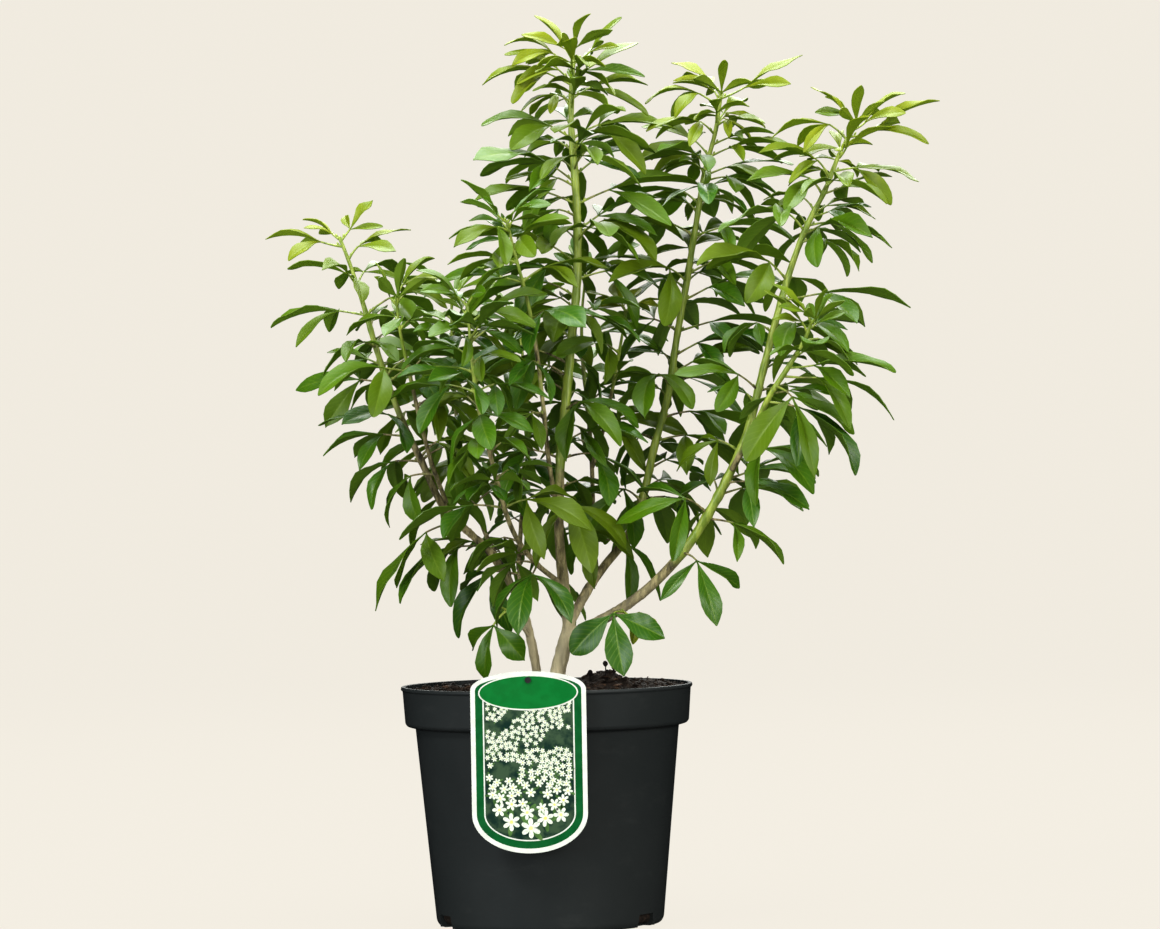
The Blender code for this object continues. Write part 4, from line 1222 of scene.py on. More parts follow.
def leaf_finish(name, under):
    """A waxy leaf: darker with age, a paler midrib and side veins, and light that shines through it."""
    finish = Finish(name)
    across = finish.math("ABSOLUTE", finish.attribute("across"))
    along = finish.attribute("along")
    mottle = finish.noise(MOTTLE_SCALE, 3)
    youth = finish.math("ADD", finish.attribute("youth"), finish.range(mottle, *NOISE_SPAN, *MOTTLE))
    blade = finish.ramp(youth, *LEAF_GREENS)
    tone = finish.attribute("tone")
    blade = finish.mix(finish.range(tone, 0.0, 0.9, 0.0, COOL_SHARE, "LINEAR"), blade, COOL_GREEN)
    blade = finish.mix(finish.range(tone, 0.0, -1.0, 0.0, WARM_SHARE, "LINEAR"), blade, WARM_GREEN)
    rib = finish.range(across, *RIB_SPAN, 1.0, 0.0)
    slant = finish.math("MULTIPLY", across, VEIN_SLANT)
    wave = finish.math("SINE", finish.math("SUBTRACT", finish.math("MULTIPLY", along, VEIN_RATE), slant))
    fade = finish.range(across, *VEIN_END, 1.0, 0.0)
    veins = finish.math("MULTIPLY", finish.range(wave, *VEIN_SPAN), fade)
    pale = finish.math("ADD", finish.math("MULTIPLY", rib, RIB_PALE),
                       finish.math("MULTIPLY", veins, VEIN_PALE))
    colour = finish.mix(pale, blade, RIB_GREEN)
    edge = finish.range(across, *EDGE_SPAN, 0.0, EDGE_PALE)
    colour = finish.mix(edge, colour, RIB_GREEN)
    if under:
        colour = finish.mix(UNDER_PALE, colour, UNDER_GREEN)
    relief = finish.math("SUBTRACT", finish.math("MULTIPLY", finish.noise(LEAF_GRAIN_SCALE, 2), LEAF_GRAIN),
                         finish.math("ADD", rib, finish.math("MULTIPLY", veins, VEIN_RELIEF)))
    if under:
        relief = finish.math("MULTIPLY", relief, -1.0)
    uneven = finish.range(finish.noise(UNEVEN_SCALE, 2), *NOISE_SPAN, *UNEVEN)
    rough = UNDER_ROUGHNESS if under else finish.range(tone, *ROUGHNESS_BY_TONE)
    finish.shade(Base_Color=colour, Roughness=finish.math("ADD", uneven, rough),
                 Normal=finish.bump(relief, LEAF_RELIEF), Specular_IOR_Level=LEAF_SPECULAR,
                 Coat_Weight=0.0 if under else LEAF_COAT, Coat_Roughness=COAT_ROUGHNESS)
    lit = finish.mix(THROUGH_TINT, colour, SHINE_THROUGH)
    through = finish.node("ShaderNodeBsdfTranslucent", {"Color": lit}).outputs[0]
    finish.blend(finish.range(tone, *THROUGH_BY_TONE), finish.shader.outputs[0], through)
    return finish.material


def stem_finish():
    """Smooth green shoot with fine lengthwise lines, turning to grey-brown bark where it is woody."""
    finish = Finish("shoot_and_bark")
    patches = finish.range(finish.noise(PATCH_SCALE, 3), *NOISE_SPAN, *PATCHES)
    woody = finish.math("ADD", finish.attribute("woody"), patches)
    lines = finish.noise(LINE_SCALE, 3, stretch=LINE_STRETCH)
    green = finish.mix(finish.range(lines, *NOISE_CORE), *SHOOT_GREENS)
    cracks = finish.noise(CRACK_SCALE, 5, 0.7, stretch=CRACK_STRETCH)
    grey = finish.ramp(cracks, *BARK_COLOURS)
    # Painted light: the trunk's foot is made paler, as if lit below the shade of the leaves
    height = finish.node("ShaderNodeSeparateXYZ", {0: finish.place()}).outputs["Z"]
    foot = finish.range(height, *LIT_FOOT_SPAN, LIT_FOOT_SHARE, 0.0)
    grey = finish.mix(foot, grey, LIT_BARK_FOOT)
    spots = finish.range(finish.cells(SPOT_SCALE), *SPOT_SPAN, 1.0, 0.0)
    grey = finish.mix(finish.math("MULTIPLY", spots, SPOT_SHARE), grey, BARK_SPOT)
    share = finish.range(woody, *WOODY_SPAN)
    colour = finish.mix(share, green, grey)
    relief = finish.mix(share, lines, cracks)
    rough = finish.range(share, 0, 1, SHOOT_ROUGHNESS, BARK_ROUGHNESS, "LINEAR")
    finish.shade(Base_Color=colour, Roughness=rough, Normal=finish.bump(relief, BARK_RELIEF))
    return finish.material


def soil_finish(name, *colours):
    """Something damp and crumbly, flecked with its colours from dark to light."""
    finish = Finish(name)
    fleck = finish.noise(FLECK_SCALE, 5, 0.65)
    finish.shade(Base_Color=finish.ramp(fleck, *zip(FLECK_STOPS, colours)),
                 Roughness=finish.range(fleck, *NOISE_SPAN, *SOIL_ROUGHNESS),
                 Normal=finish.bump(finish.noise(SOIL_GRAIN_SCALE, 3), SOIL_RELIEF),
                 Specular_IOR_Level=SOIL_SPECULAR)
    return finish.material


def pot_finish():
    """Moulded anthracite plastic: a fine grain, faint flow marks, and a little dust and scuffing."""
    finish = Finish("anthracite_plastic")
    cloud = finish.noise(CLOUD_SCALE, 4, 0.6)
    dust = finish.range(finish.noise(DUST_SCALE, 6, 0.7, stretch=DUST_STRETCH), *DUST_SPAN)
    colour = finish.mix(cloud, *POT_COLOURS)
    colour = finish.mix(finish.math("MULTIPLY", dust, DUST_SHARE), colour, POT_DUST)
    scuffs = finish.range(finish.noise(SCUFF_SCALE, 2, stretch=SCUFF_STRETCH), *SCUFF_SPAN)
    rough = finish.range(cloud, *NOISE_SPAN, *POT_ROUGHNESS)
    rough = finish.math("ADD", rough, finish.math("MULTIPLY", scuffs, SCUFF_ROUGHNESS))
    grain = finish.bump(finish.noise(POT_GRAIN_SCALE, 2), POT_GRAIN_RELIEF)
    flow = finish.bump(finish.noise(FLOW_SCALE, 2, stretch=FLOW_STRETCH), FLOW_RELIEF, under=grain)
    finish.shade(Base_Color=colour, Roughness=rough, Normal=flow, Specular_IOR_Level=POT_SPECULAR)
    return finish.material


def print_finish(name, colour, other, scale):
    """Ink on glossy card, with a faint unevenness."""
    finish = Finish(name)
    share = finish.range(finish.noise(scale, 3), *NOISE_CORE)
    finish.shade(Base_Color=finish.mix(share, colour, other),
                 Roughness=finish.range(finish.noise(SHEEN_SCALE, 2), *NOISE_SPAN, *CARD_ROUGHNESS),
                 Normal=finish.bump(finish.noise(CARD_GRAIN_SCALE, 2), CARD_RELIEF),
                 Specular_IOR_Level=CARD_SPECULAR)
    return finish.material


def black_plastic_finish():
    """The clip's smooth black plastic."""
    finish = Finish("black_plastic")
    cloud = finish.noise(CLIP_SCALE, 3)
    finish.shade(Base_Color=finish.mix(cloud, *CLIP_COLOURS),
                 Roughness=finish.range(cloud, *NOISE_SPAN, *CLIP_ROUGHNESS),
                 Normal=finish.bump(cloud, CLIP_RELIEF))
    return finish.material


# Pot


def turned(profile, sides):
    """Spins a profile of (radius, z) about Z. For a closed shape its ends lie on the axis."""
    shape = bmesh.new()
    corners = [shape.verts.new((radius, 0, z)) for radius, z in profile]
    for first, second in zip(corners, corners[1:]):
        shape.edges.new((first, second))
    bmesh.ops.spin(shape, geom=shape.verts[:] + shape.edges[:], cent=(0, 0, 0), axis=(0, 0, 1),
                   angle=2 * math.pi, steps=sides, use_merge=True)
    bmesh.ops.remove_doubles(shape, verts=shape.verts, dist=0.01)
    bmesh.ops.recalc_face_normals(shape, faces=shape.faces)
    return shape


def rounded(profile, corners):
    """A profile with some corners rounded: corners maps a point's index to how far from it that starts."""
    drawn = []
    for index, point in enumerate(profile):
        here = Vector(point)
        if index not in corners:
            drawn.append(tuple(here))
            continue
        before = (Vector(profile[index - 1]) - here).normalized() * corners[index]
        after = (Vector(profile[index + 1]) - here).normalized() * corners[index]
        for step in range(CORNER_STEPS + 1):
            t = step / CORNER_STEPS
            drawn.append(tuple(here + before * (1 - t) ** 2 + after * t ** 2))
    return drawn


def spun_place(angle, radius):
    """A placement whose Y axis points outwards at the angle, starting at the radius."""
    return Matrix.Rotation(math.radians(angle - 90), 4, "Z") @ Matrix.Translation((0, radius, 0))


def prism(outlines, depth, place, hole=()):
    """Flat outlines of (x, z) extruded along Y to the depth and placed. A hole goes through them all."""
    shape = bmesh.new()
    drawn = [*outlines, hole] if hole else outlines
    loops = [[shape.verts.new((x, 0, z)) for x, z in outline] for outline in drawn]
    if hole:
        edges = [shape.edges.new(pair) for loop in loops for pair in zip(loop, loop[1:] + loop[:1])]
        bmesh.ops.triangle_fill(shape, edges=edges, use_beauty=True)
    else:
        for loop in loops:
            shape.faces.new(loop)
    grown = bmesh.ops.extrude_face_region(shape, geom=shape.faces[:])["geom"]
    bmesh.ops.translate(shape, vec=(0, depth, 0), verts=[item for item in grown
                                                         if isinstance(item, bmesh.types.BMVert)])
    bmesh.ops.transform(shape, matrix=place, verts=shape.verts)
    return shape


def notch_blocks(swell, foot, outer):
    """The drain notches' trapezoids, swollen by a wall, from inside the foot out to a radius."""
    shape = bmesh.new()
    top = NOTCH_HEIGHT + swell
    half_foot, half_top = [NOTCH_WIDTH / 2 + swell - NOTCH_SLOPE * z / NOTCH_HEIGHT for z in (foot, top)]
    outline = [(-half_foot, foot), (half_foot, foot), (half_top, top), (-half_top, top)]
    for angle in NOTCH_ANGLES:
        pour(shape, prism([outline], outer - NOTCH_INNER + swell, spun_place(angle, NOTCH_INNER - swell)))
    bmesh.ops.recalc_face_normals(shape, faces=shape.faces)
    return shape


def cut(target, shape, operation="DIFFERENCE"):
    """Cuts the target with a shape, or joins the shape to it, and drops the tool."""
    tool = add_object("tool", make_mesh("tool", shape, []))
    change = target.modifiers.new("cut", "BOOLEAN")
    change.operation = operation
    change.object = tool
    settle_mesh(target)
    bpy.data.objects.remove(tool, do_unlink=True)


def make_pot():
    """The moulded pot: a rounded lip, a stepped band, a tapered body, and drain notches in its foot."""
    outside = [(0, 0), (FOOT_RADIUS, 0), (BODY_FOOT_RADIUS, FOOT_EDGE),
               (BODY_TOP_RADIUS, BAND_FOOT_Z - STEP_HEIGHT),
               (BAND_FOOT_RADIUS - BAND_ROUND, BAND_FOOT_Z - BAND_ROUND / 2),
               (BAND_FOOT_RADIUS, BAND_FOOT_Z + BAND_ROUND),
               (BAND_TOP_RADIUS, POT_HEIGHT - LIP_DEPTH - LIP_ROUND),
               (LIP_RADIUS, POT_HEIGHT - LIP_DEPTH), (LIP_RADIUS - LIP_ROUND / 2, POT_HEIGHT)]
    inside = [(BAND_TOP_RADIUS - WALL, POT_HEIGHT), (BAND_FOOT_RADIUS - WALL, BAND_FOOT_Z + WALL),
              (BODY_TOP_RADIUS - WALL, BAND_FOOT_Z - STEP_HEIGHT + WALL),
              (BODY_FOOT_RADIUS - WALL, FOOT_EDGE + WALL), (FOOT_RADIUS - WALL, FLOOR), (0, FLOOR)]
    shape = turned(rounded(outside + inside, POT_CORNERS), POT_SIDES)
    pot = add_object("pot_shell", make_mesh("pot_shell", shape, [pot_finish()], POT_SHARP))
    cut(pot, notch_blocks(WALL, POCKET_FOOT, BODY_FOOT_RADIUS - WALL / 2), "UNION")
    cut(pot, notch_blocks(0, CUTTER_FOOT, NOTCH_OUTER))
    pot.data.set_sharp_from_angle(angle=math.radians(POT_SHARP))
    finish_piece(pot, "anthracite_plastic", "pot")


# Soil


def soil_height(x, y):
    """A crumbly surface: a level with mounds, and small waves that stand for clods."""
    height = SOIL_LEVEL + 0.9 * math.sin(0.19 * x + 1) * math.cos(0.23 * y) + 0.6 * math.sin(0.41 * (x + y))
    for mound_x, mound_y, rise, reach in SOIL_MOUNDS:
        away = ((x - mound_x) ** 2 + (y - mound_y) ** 2) / reach ** 2
        height += rise * math.exp(-away)
    return height


def clod_height(x, y):
    """The surface with its clods and grains."""
    clods = noise.noise(Vector((x, y, 0)) * CLOD_SCALE) * CLOD_HEIGHT
    grains = noise.noise(Vector((x, y, 7)) * GRAIN_SCALE) * GRAIN_HEIGHT
    return soil_height(x, y) + clods + grains


def make_soil():
    """Dark potting soil with crumbs, bark chips and fibres on it, and three tiny stalked heads."""
    edge = BAND_TOP_RADIUS - WALL - GAP
    foot = [(0, FLOOR + GAP), (FOOT_RADIUS - WALL - GAP, FLOOR + GAP),
            (BODY_FOOT_RADIUS - WALL - GAP, FOOT_EDGE + WALL + GAP),
            (BODY_TOP_RADIUS - WALL - GAP, BAND_FOOT_Z - STEP_HEIGHT + WALL + GAP),
            (BAND_FOOT_RADIUS - WALL - GAP, BAND_FOOT_Z + WALL + GAP)]
    rings = int(edge / SOIL_RING_STEP)
    top = [(edge * (rings - ring) / rings, SOIL_LEVEL) for ring in range(rings + 1)]
    shape = turned(foot + top, SOIL_SIDES)
    for point in shape.verts:
        if point.co.z > SOIL_LEVEL - 1:
            point.co.z = clod_height(point.co.x, point.co.y)
    scatter_crumbs(shape)
    scatter_chips(shape)
    scatter_fibres(shape)
    grow_heads(shape)
    finishes = [soil_finish(*row) for row in SOIL_FINISHES]
    add_piece("potting_soil", make_mesh("potting_soil", shape, finishes, SOIL_SHARP), "potting_soil", "soil")


def scatter_place(draw, margin):
    """A random place on the soil, clear of the rim by the margin."""
    reach = (BAND_TOP_RADIUS - WALL - margin) * math.sqrt(draw.random())
    angle = draw.uniform(0, 2 * math.pi)
    return reach * math.cos(angle), reach * math.sin(angle)


def scatter_crumbs(shape):
    """Small uneven lumps of peat."""
    draw = random.Random("crumbs")

    def add_crumb(batch):
        size = draw.choice(CRUMB_SIZES)
        x, y = scatter_place(draw, size + 1)
        squash = Matrix.Diagonal((draw.uniform(*CRUMB_WIDTHS), draw.uniform(*CRUMB_WIDTHS),
                                  draw.uniform(*CRUMB_HEIGHTS), 1))
        place = (Matrix.Translation((x, y, clod_height(x, y) + size * CRUMB_RISE))
                 @ Matrix.Rotation(draw.uniform(0, TURN), 4, "Z") @ squash)
        points = bmesh.ops.create_icosphere(batch, subdivisions=1, radius=size, matrix=place)["verts"]
        for point in points:
            point.co += Vector([draw.uniform(-CRUMB_UNEVEN, CRUMB_UNEVEN) * size for axis in range(3)])

    make_many(shape, CRUMBS, add_crumb)


def scatter_chips(shape):
    """Thin irregular chips of bark, lying or half sunk."""
    draw = random.Random("chips")

    def add_chip(batch):
        length, width, thick = [draw.uniform(*span) for span in CHIP_DRAWS]
        x, y = scatter_place(draw, CHIP_MARGIN)
        tilt = Euler([draw.uniform(*span) for span in CHIP_TILTS])
        place = (Matrix.Translation((x, y, clod_height(x, y) + thick * CHIP_RISE))
                 @ tilt.to_matrix().to_4x4() @ Matrix.Diagonal((length, width, thick, 1)))
        points = bmesh.ops.create_cube(batch, size=1, matrix=place)["verts"]
        for point in points:
            point.co += Vector([draw.uniform(-CHIP_UNEVEN, CHIP_UNEVEN) for axis in range(3)])
        edges = {edge for point in points for edge in point.link_edges}
        rounded_off = bmesh.ops.bevel(batch, geom=list(edges), offset=thick * CHIP_BEVEL, segments=1,
                                      profile=0.5, affect="EDGES", material=-1)
        set_finish(rounded_off["verts"], BARK_FINISH)

    make_many(shape, CHIPS, add_chip)


def scatter_fibres(shape):
    """Short bits of root and straw."""
    draw = random.Random("fibres")

    def add_fibre(batch):
        x, y = scatter_place(draw, FIBRE_MARGIN)
        angle = draw.uniform(0, 2 * math.pi)
        bend = draw.uniform(*FIBRE_BEND_DRAW)
        length = draw.uniform(*FIBRE_LENGTH_DRAW)
        centres = []
        for step in range(FIBRE_STEPS + 1):
            run = length * (step / FIBRE_STEPS - 0.5)
            turn = angle + bend * step
            px, py = x + run * math.cos(turn), y + run * math.sin(turn)
            centres.append(Vector((px, py, clod_height(px, py) + FIBRE_RISE)))
        ways = [(after - before).normalized() for before, after in
                zip([centres[0]] + centres[:-1], centres[1:] + [centres[-1]])]
        radius = draw.uniform(*FIBRE_RADIUS_DRAW)
        rings = add_tube(batch, centres, ways, [radius * part for part in FIBRE_RADII], FIBRE_SIDES)
        set_finish(sum(rings, []), BARK_FINISH)

    make_many(shape, FIBRES, add_fibre)


def grow_heads(shape):
    """Three thin stalks with dark heads, right of the label."""
    for x, y, top in HEADS:
        foot = soil_height(x, y) - HEAD_ROOT
        heights = [foot, (foot + top) / 2, *[top - depth for depth, radius in HEAD_RINGS]]
        radii = [*HEAD_STALK, *[radius for depth, radius in HEAD_RINGS]]
        centres = [Vector((x + HEAD_SWAY * math.sin(HEAD_SWAY_RATE * z), y, z)) for z in heights]
        rings = add_tube(shape, centres, [UP] * len(heights), radii, HEAD_SIDES)
        set_finish(sum(rings, []), HEAD_FINISH)


# Label


def foot_arc(inset):
    """The deep arc at the card's foot, moved inwards, from its left side to its right one."""
    half, depth = LABEL_WIDTH / 2 - inset, LABEL_FOOT_ARC - inset
    angles = [math.pi * (1 + step / ARC_STEPS) for step in range(ARC_STEPS + 1)]
    return [(half * math.cos(angle), LABEL_FOOT_Z + LABEL_FOOT_ARC + depth * math.sin(angle))
            for angle in angles]


def label_outline(inset):
    """The card's outline moved inwards: straight sides, a low arc above and a deeper one below."""
    half, rise = LABEL_WIDTH / 2 - inset, LABEL_TOP_ARC - inset
    angles = [math.pi * step / ARC_STEPS for step in range(ARC_STEPS + 1)]
    top = [(half * math.cos(angle), LABEL_TOP_Z - LABEL_TOP_ARC + rise * math.sin(angle) ** TOP_ARC_FULLNESS)
           for angle in angles]
    return top + foot_arc(inset)


def panel_outline(inset):
    """The picture panel: straight sides and top, and the card's deep arc below."""
    half = LABEL_WIDTH / 2 - inset
    return [(half, PANEL_TOP_Z), (-half, PANEL_TOP_Z)] + foot_arc(inset)


def oval(half_width, half_height, z):
    """An oval about X = 0, centred at that height."""
    angles = [math.pi * step / ARC_STEPS for step in range(2 * ARC_STEPS)]
    return [(half_width * math.cos(angle), z + half_height * math.sin(angle)) for angle in angles]


def add_ink(shape, outlines, level, ink, hole=()):
    """Lays printed shapes on the card's front, at their level in the stack of inks."""
    part = prism(outlines, -INK * level, LABEL_PLACE, hole)
    set_finish(part.verts, ink)
    pour(shape, part)


def flower_outline(x, z, size, turn):
    """A blossom with rounded petals, seen from the front."""
    steps = PETALS * PETAL_STEPS
    outline = []
    for step in range(steps):
        angle = 2 * math.pi * step / steps
        petal = abs(math.cos(PETALS * angle / 2)) ** PETAL_FULLNESS
        radius = size * (PETAL_FOOT + (1 - PETAL_FOOT) * petal)
        outline.append((x + radius * math.cos(angle + turn), z + radius * math.sin(angle + turn)))
    return outline


def sprig_outline(x, z, size, turn):
    """A pointed leaf."""
    outline = []
    for step in range(SPRIG_STEPS):
        angle = 2 * math.pi * step / SPRIG_STEPS
        along, across = size * math.cos(angle), SPRIG_WIDTH * size * math.sin(angle)
        outline.append((x + along * math.cos(turn) - across * math.sin(turn),
                        z + along * math.sin(turn) + across * math.cos(turn)))
    return outline


def scatter_blossoms():
    """Places and sizes of blossoms over the panel: larger towards its foot, in loose drifts."""
    draw = random.Random("blossoms")
    inner = LABEL_WIDTH / 2 - LABEL_BORDER - LABEL_FRAME - LABEL_LINE
    arc = LABEL_FOOT_ARC - LABEL_BORDER - LABEL_FRAME - LABEL_LINE
    arc_z = LABEL_FOOT_Z + LABEL_FOOT_ARC
    low = arc_z - arc
    small, large = BLOSSOM_SIZE
    tries = []
    for attempt in range(BLOSSOM_TRIES):
        x, z = draw.uniform(-inner, inner), draw.uniform(low, PANEL_TOP_Z)
        share = (PANEL_TOP_Z - z) / (PANEL_TOP_Z - low)
        growth = share ** BLOSSOM_GROWTH * draw.uniform(*BLOSSOM_DRAW)
        tries.append((small + (large - small) * growth, x, z))
    placed = []
    for size, x, z in sorted(tries, reverse=True):
        depth = max(0.0, arc_z - z + size) / arc
        inside = depth < 1 and abs(x) + size < inner * math.sqrt(1 - depth ** 2)
        drift = noise.noise(Vector((x, z, 3)) * DRIFT_SCALE) > DRIFT_EDGE
        apart = all(math.hypot(x - px, z - pz) > BLOSSOM_SPACING * (size + other)
                    for px, pz, other in placed)
        if inside and drift and apart:
            placed.append((x, z, size))
    return placed


def print_flowers(shape):
    """A generic print of small white blossoms among leaves."""
    draw = random.Random("print")
    blossoms = scatter_blossoms()
    sprigs = []
    for x, z, size in blossoms:
        for turn in [draw.uniform(*span) for span in SPRIG_TURNS]:
            away = size * SPRIG_AWAY
            sprigs.append(sprig_outline(x + away * math.cos(turn), z + away * math.sin(turn),
                                        size * SPRIG_SIZE, turn))
    flowers = [flower_outline(x, z, size, draw.uniform(0, TURN)) for x, z, size in blossoms]
    hearts = [[(x + px, pz) for px, pz in oval(size * HEART_SIZE, size * HEART_SIZE, z)[::HEART_POINTS]]
              for x, z, size in blossoms]
    add_ink(shape, sprigs, 4, LEAF_INK)
    add_ink(shape, flowers, 5, PETAL_INK)
    add_ink(shape, hearts, 6, HEART_INK)


def make_label():
    """The hanging card: white, with a dark green frame, a bright green header and a flower print."""
    finishes = [print_finish(*row) for row in CARD_FINISHES]
    hole = oval(HOLE_RADIUS, HOLE_RADIUS, HOLE_Z)[::HOLE_POINTS]
    shape = prism([label_outline(0)], LABEL_THICK, LABEL_PLACE, hole)
    add_ink(shape, [label_outline(LABEL_BORDER)], 1, FRAME_INK, hole)
    add_ink(shape, [panel_outline(LABEL_BORDER + LABEL_FRAME)], 2, CARD)
    add_ink(shape, [panel_outline(LABEL_BORDER + LABEL_FRAME + LABEL_LINE)], 3, PANEL_INK)
    print_flowers(shape)
    add_ink(shape, [oval(*HEADER_HALF, HEADER_Z)], 7, CARD, hole)
    add_ink(shape, [oval(*[half - LABEL_LINE for half in HEADER_HALF], HEADER_Z)], 8, HEADER_INK, hole)
    bmesh.ops.recalc_face_normals(shape, faces=shape.faces)
    mesh = make_mesh("plant_card", shape, finishes, LABEL_SHARP)
    add_piece("plant_card", mesh, "label_card", "plant_label")


# Stems and leaves


def fine_radius(branch, length, nodes):
    """The stem's radius, a little thicker where leaves leave it."""
    swell = sum(math.exp(-((length - node) / NODE_REACH) ** 2) for node in nodes)
    taper = TIP_TAPER * max(0.0, branch.share_of(length) - TAPER_FROM) / (1 - TAPER_FROM)
    return branch.radius(length) * (1 + NODE_SWELL * min(swell, NODE_MOST)) * (1 - taper)


def paint(points, layer, value):
    """Gives some points a value that the finishes read."""
    for point in points:
        point[layer] = value


def add_fine_stem(shape, branch, leaves, thin, wood_reach):
    """A smooth stem with a rounded end, woody at its foot and turning green over the wood's reach."""
    woody = shape.verts.layers.float["woody"]
    span = branch.curve.length - branch.leafy
    nodes = sorted({round(branch.leafy + leaf.share * span, 1) for leaf in leaves})
    marks = ring_marks(branch.leafy, branch.curve.length, FINE_STEP)
    centres, ways = map(list, zip(*[branch.curve.at(mark) for mark in marks]))
    radii = [fine_radius(branch, mark, nodes) * thin for mark in marks]
    centres[0] = centres[0] - ways[0] * SEAT_SINK
    tip_radius = radii[-1]
    for bulge, shrink in TIP_RINGS:
        centres.append(centres[len(marks) - 1] + ways[-1] * tip_radius * bulge)
        ways.append(ways[-1])
        radii.append(tip_radius * shrink)
    for index, ring in enumerate(add_tube(shape, centres, ways, radii, FINE_SIDES)):
        share = min(1.0, index / len(marks))
        paint(ring, woody, max(0.0, 1 - share / wood_reach) ** WOOD_FADE)


def make_trunk(name, branches, finish):
    """The woody foot of one or more stems, run together at the forks, with bark laid over it."""
    shape = bmesh.new()
    for branch in branches:
        marks = ring_marks(0.0, branch.wood + TRUNK_OVERLAP, TRUNK_STEP)
        centres, ways = zip(*[branch.curve.at(mark) for mark in marks])
        lumps = [noise.noise(Vector((mark * LUMP_SCALE, branch.wood, 0))) for mark in marks]
        radii = [branch.radius(mark) * (1 + LUMP_SWELL * lump) for mark, lump in zip(marks, lumps)]
        add_tube(shape, centres, ways, radii, TRUNK_SIDES)
    bmesh.ops.recalc_face_normals(shape, faces=shape.faces)
    trunk = add_object(name + "_bark", make_mesh(name, shape, [finish]))
    melt = trunk.modifiers.new("melt", "REMESH")
    melt.mode = "VOXEL"
    melt.voxel_size = TRUNK_VOXEL * MM
    settle_mesh(trunk)
    bark = bmesh.new()
    bark.from_mesh(trunk.data)
    for turn in range(BARK_SMOOTHING):
        bmesh.ops.smooth_vert(bark, verts=bark.verts, factor=0.5, use_axis_x=True, use_axis_y=True,
                              use_axis_z=True)
    bark.normal_update()
    woody = bark.verts.layers.float.new("woody")
    for point in bark.verts:
        place = point.co / MM
        furrow = noise.noise(Vector((place.x * FURROW_ACROSS, place.y * FURROW_ACROSS,
                                     place.z * FURROW_ALONG)))
        knot = noise.noise(place * KNOT_SCALE)
        point.co += point.normal * (FURROW_DEPTH * furrow + KNOT_DEPTH * knot) * MM
        point[woody] = 1.0 - GREENER_PER_MM * max(0.0, place.z - SOIL_LEVEL)
    for face in bark.faces:
        face.smooth = True
    bark.to_mesh(trunk.data)
    bark.free()
    finish_piece(trunk, "grey_brown_bark", name)


def blade_width(along, blunt):
    """The half width of a leaflet along it: a wedge at its foot, widest past the middle, a tip."""
    if along < 0.001:
        return FOOT_WIDTH
    if along > 0.999:
        return TIP_ROUND * blunt
    return max(FOOT_WIDTH, math.sin(math.pi * along ** WIDEST) ** (1.0 - BLUNTING * blunt * along))


def add_blade(shape, root, way, face_up, length, width, leaf, draw, youth, tone):
    """One leaflet: a sheet folded a little along its rib, arched, and waved at its edges."""
    layers = shape.verts.layers.float
    right = way.cross(face_up).normalized()
    reach = length / leaf.arch
    fold = math.radians(draw.uniform(*FOLD_DRAW) + FOLD_YOUNG * youth)
    curl = draw.uniform(*CURL_DRAW)
    twist = math.radians(draw.uniform(*TWIST_DRAW))
    wave, phase = draw.uniform(*WAVE_DRAW), draw.uniform(0, TURN)
    blunt = draw.uniform(*BLUNT_DRAW)
    sweep = draw.uniform(*SWEEP_DRAW) * length
    tone += draw.gauss(0, BLADE_TONE)
    width *= FINE_HALF_WIDTH * length * draw.uniform(*WIDTH_DRAW)
    sheet = bmesh.ops.create_grid(shape, x_segments=BLADE_ACROSS, y_segments=BLADE_ALONG, size=1)["verts"]
    for point in sheet:
        across = point.co.x * abs(point.co.x) ** RIB_EVENNESS
        part = (point.co.y + 1) / 2
        along = EVEN_STEPS * part + EASED_STEPS * (0.5 - 0.5 * math.cos(math.pi * part))
        turn = leaf.arch * along
        outward = way * math.cos(turn) - face_up * math.sin(turn)
        top = face_up * math.cos(turn) + way * math.sin(turn)
        centre = root + way * math.sin(turn) * reach - face_up * (1 - math.cos(turn)) * reach
        centre += right * sweep * along ** 2
        lean = twist * along
        side = right * math.cos(lean) + top * math.sin(lean)
        raised = top * math.cos(lean) - right * math.sin(lean)
        half = width * blade_width(along, blunt)
        rise = abs(across) * math.sin(fold * (1 - UNFOLDING * along)) - curl * across ** 2
        rise += wave * abs(across) * math.sin(along * WAVES + phase + across)
        point.co = centre + side * across * half * math.cos(fold) + raised * rise * half
        if part > 0.999:
            point.co += outward * TIP_POINT * length * (1 - across ** 2)
        point[layers["across"]] = across
        point[layers["along"]] = along
        point[layers["youth"]] = youth
        point[layers["tone"]] = tone


def leaf_youth(name, leaf, draw):
    """How fresh a leaf's green is, from 0 at the stem's foot to 1 at its tip."""
    if name in LOW_STEMS:
        return 1.0 if leaf.size < YELLOWED_SIZE else LOW_YOUTH
    fresh = FRESH_TIPS.get(name, FRESH_ELSEWHERE)
    young = max(0.0, (leaf.share - YOUTH_FROM) / (1 - YOUTH_FROM))
    youth = YOUTH_FOOT + (YOUTH_RISE + FRESH_RISE * fresh) * leaf.share + FRESH_TIP * fresh * young ** 1.5
    return min(1.0, max(0.0, youth + draw.uniform(*YOUTH_DRAW)))


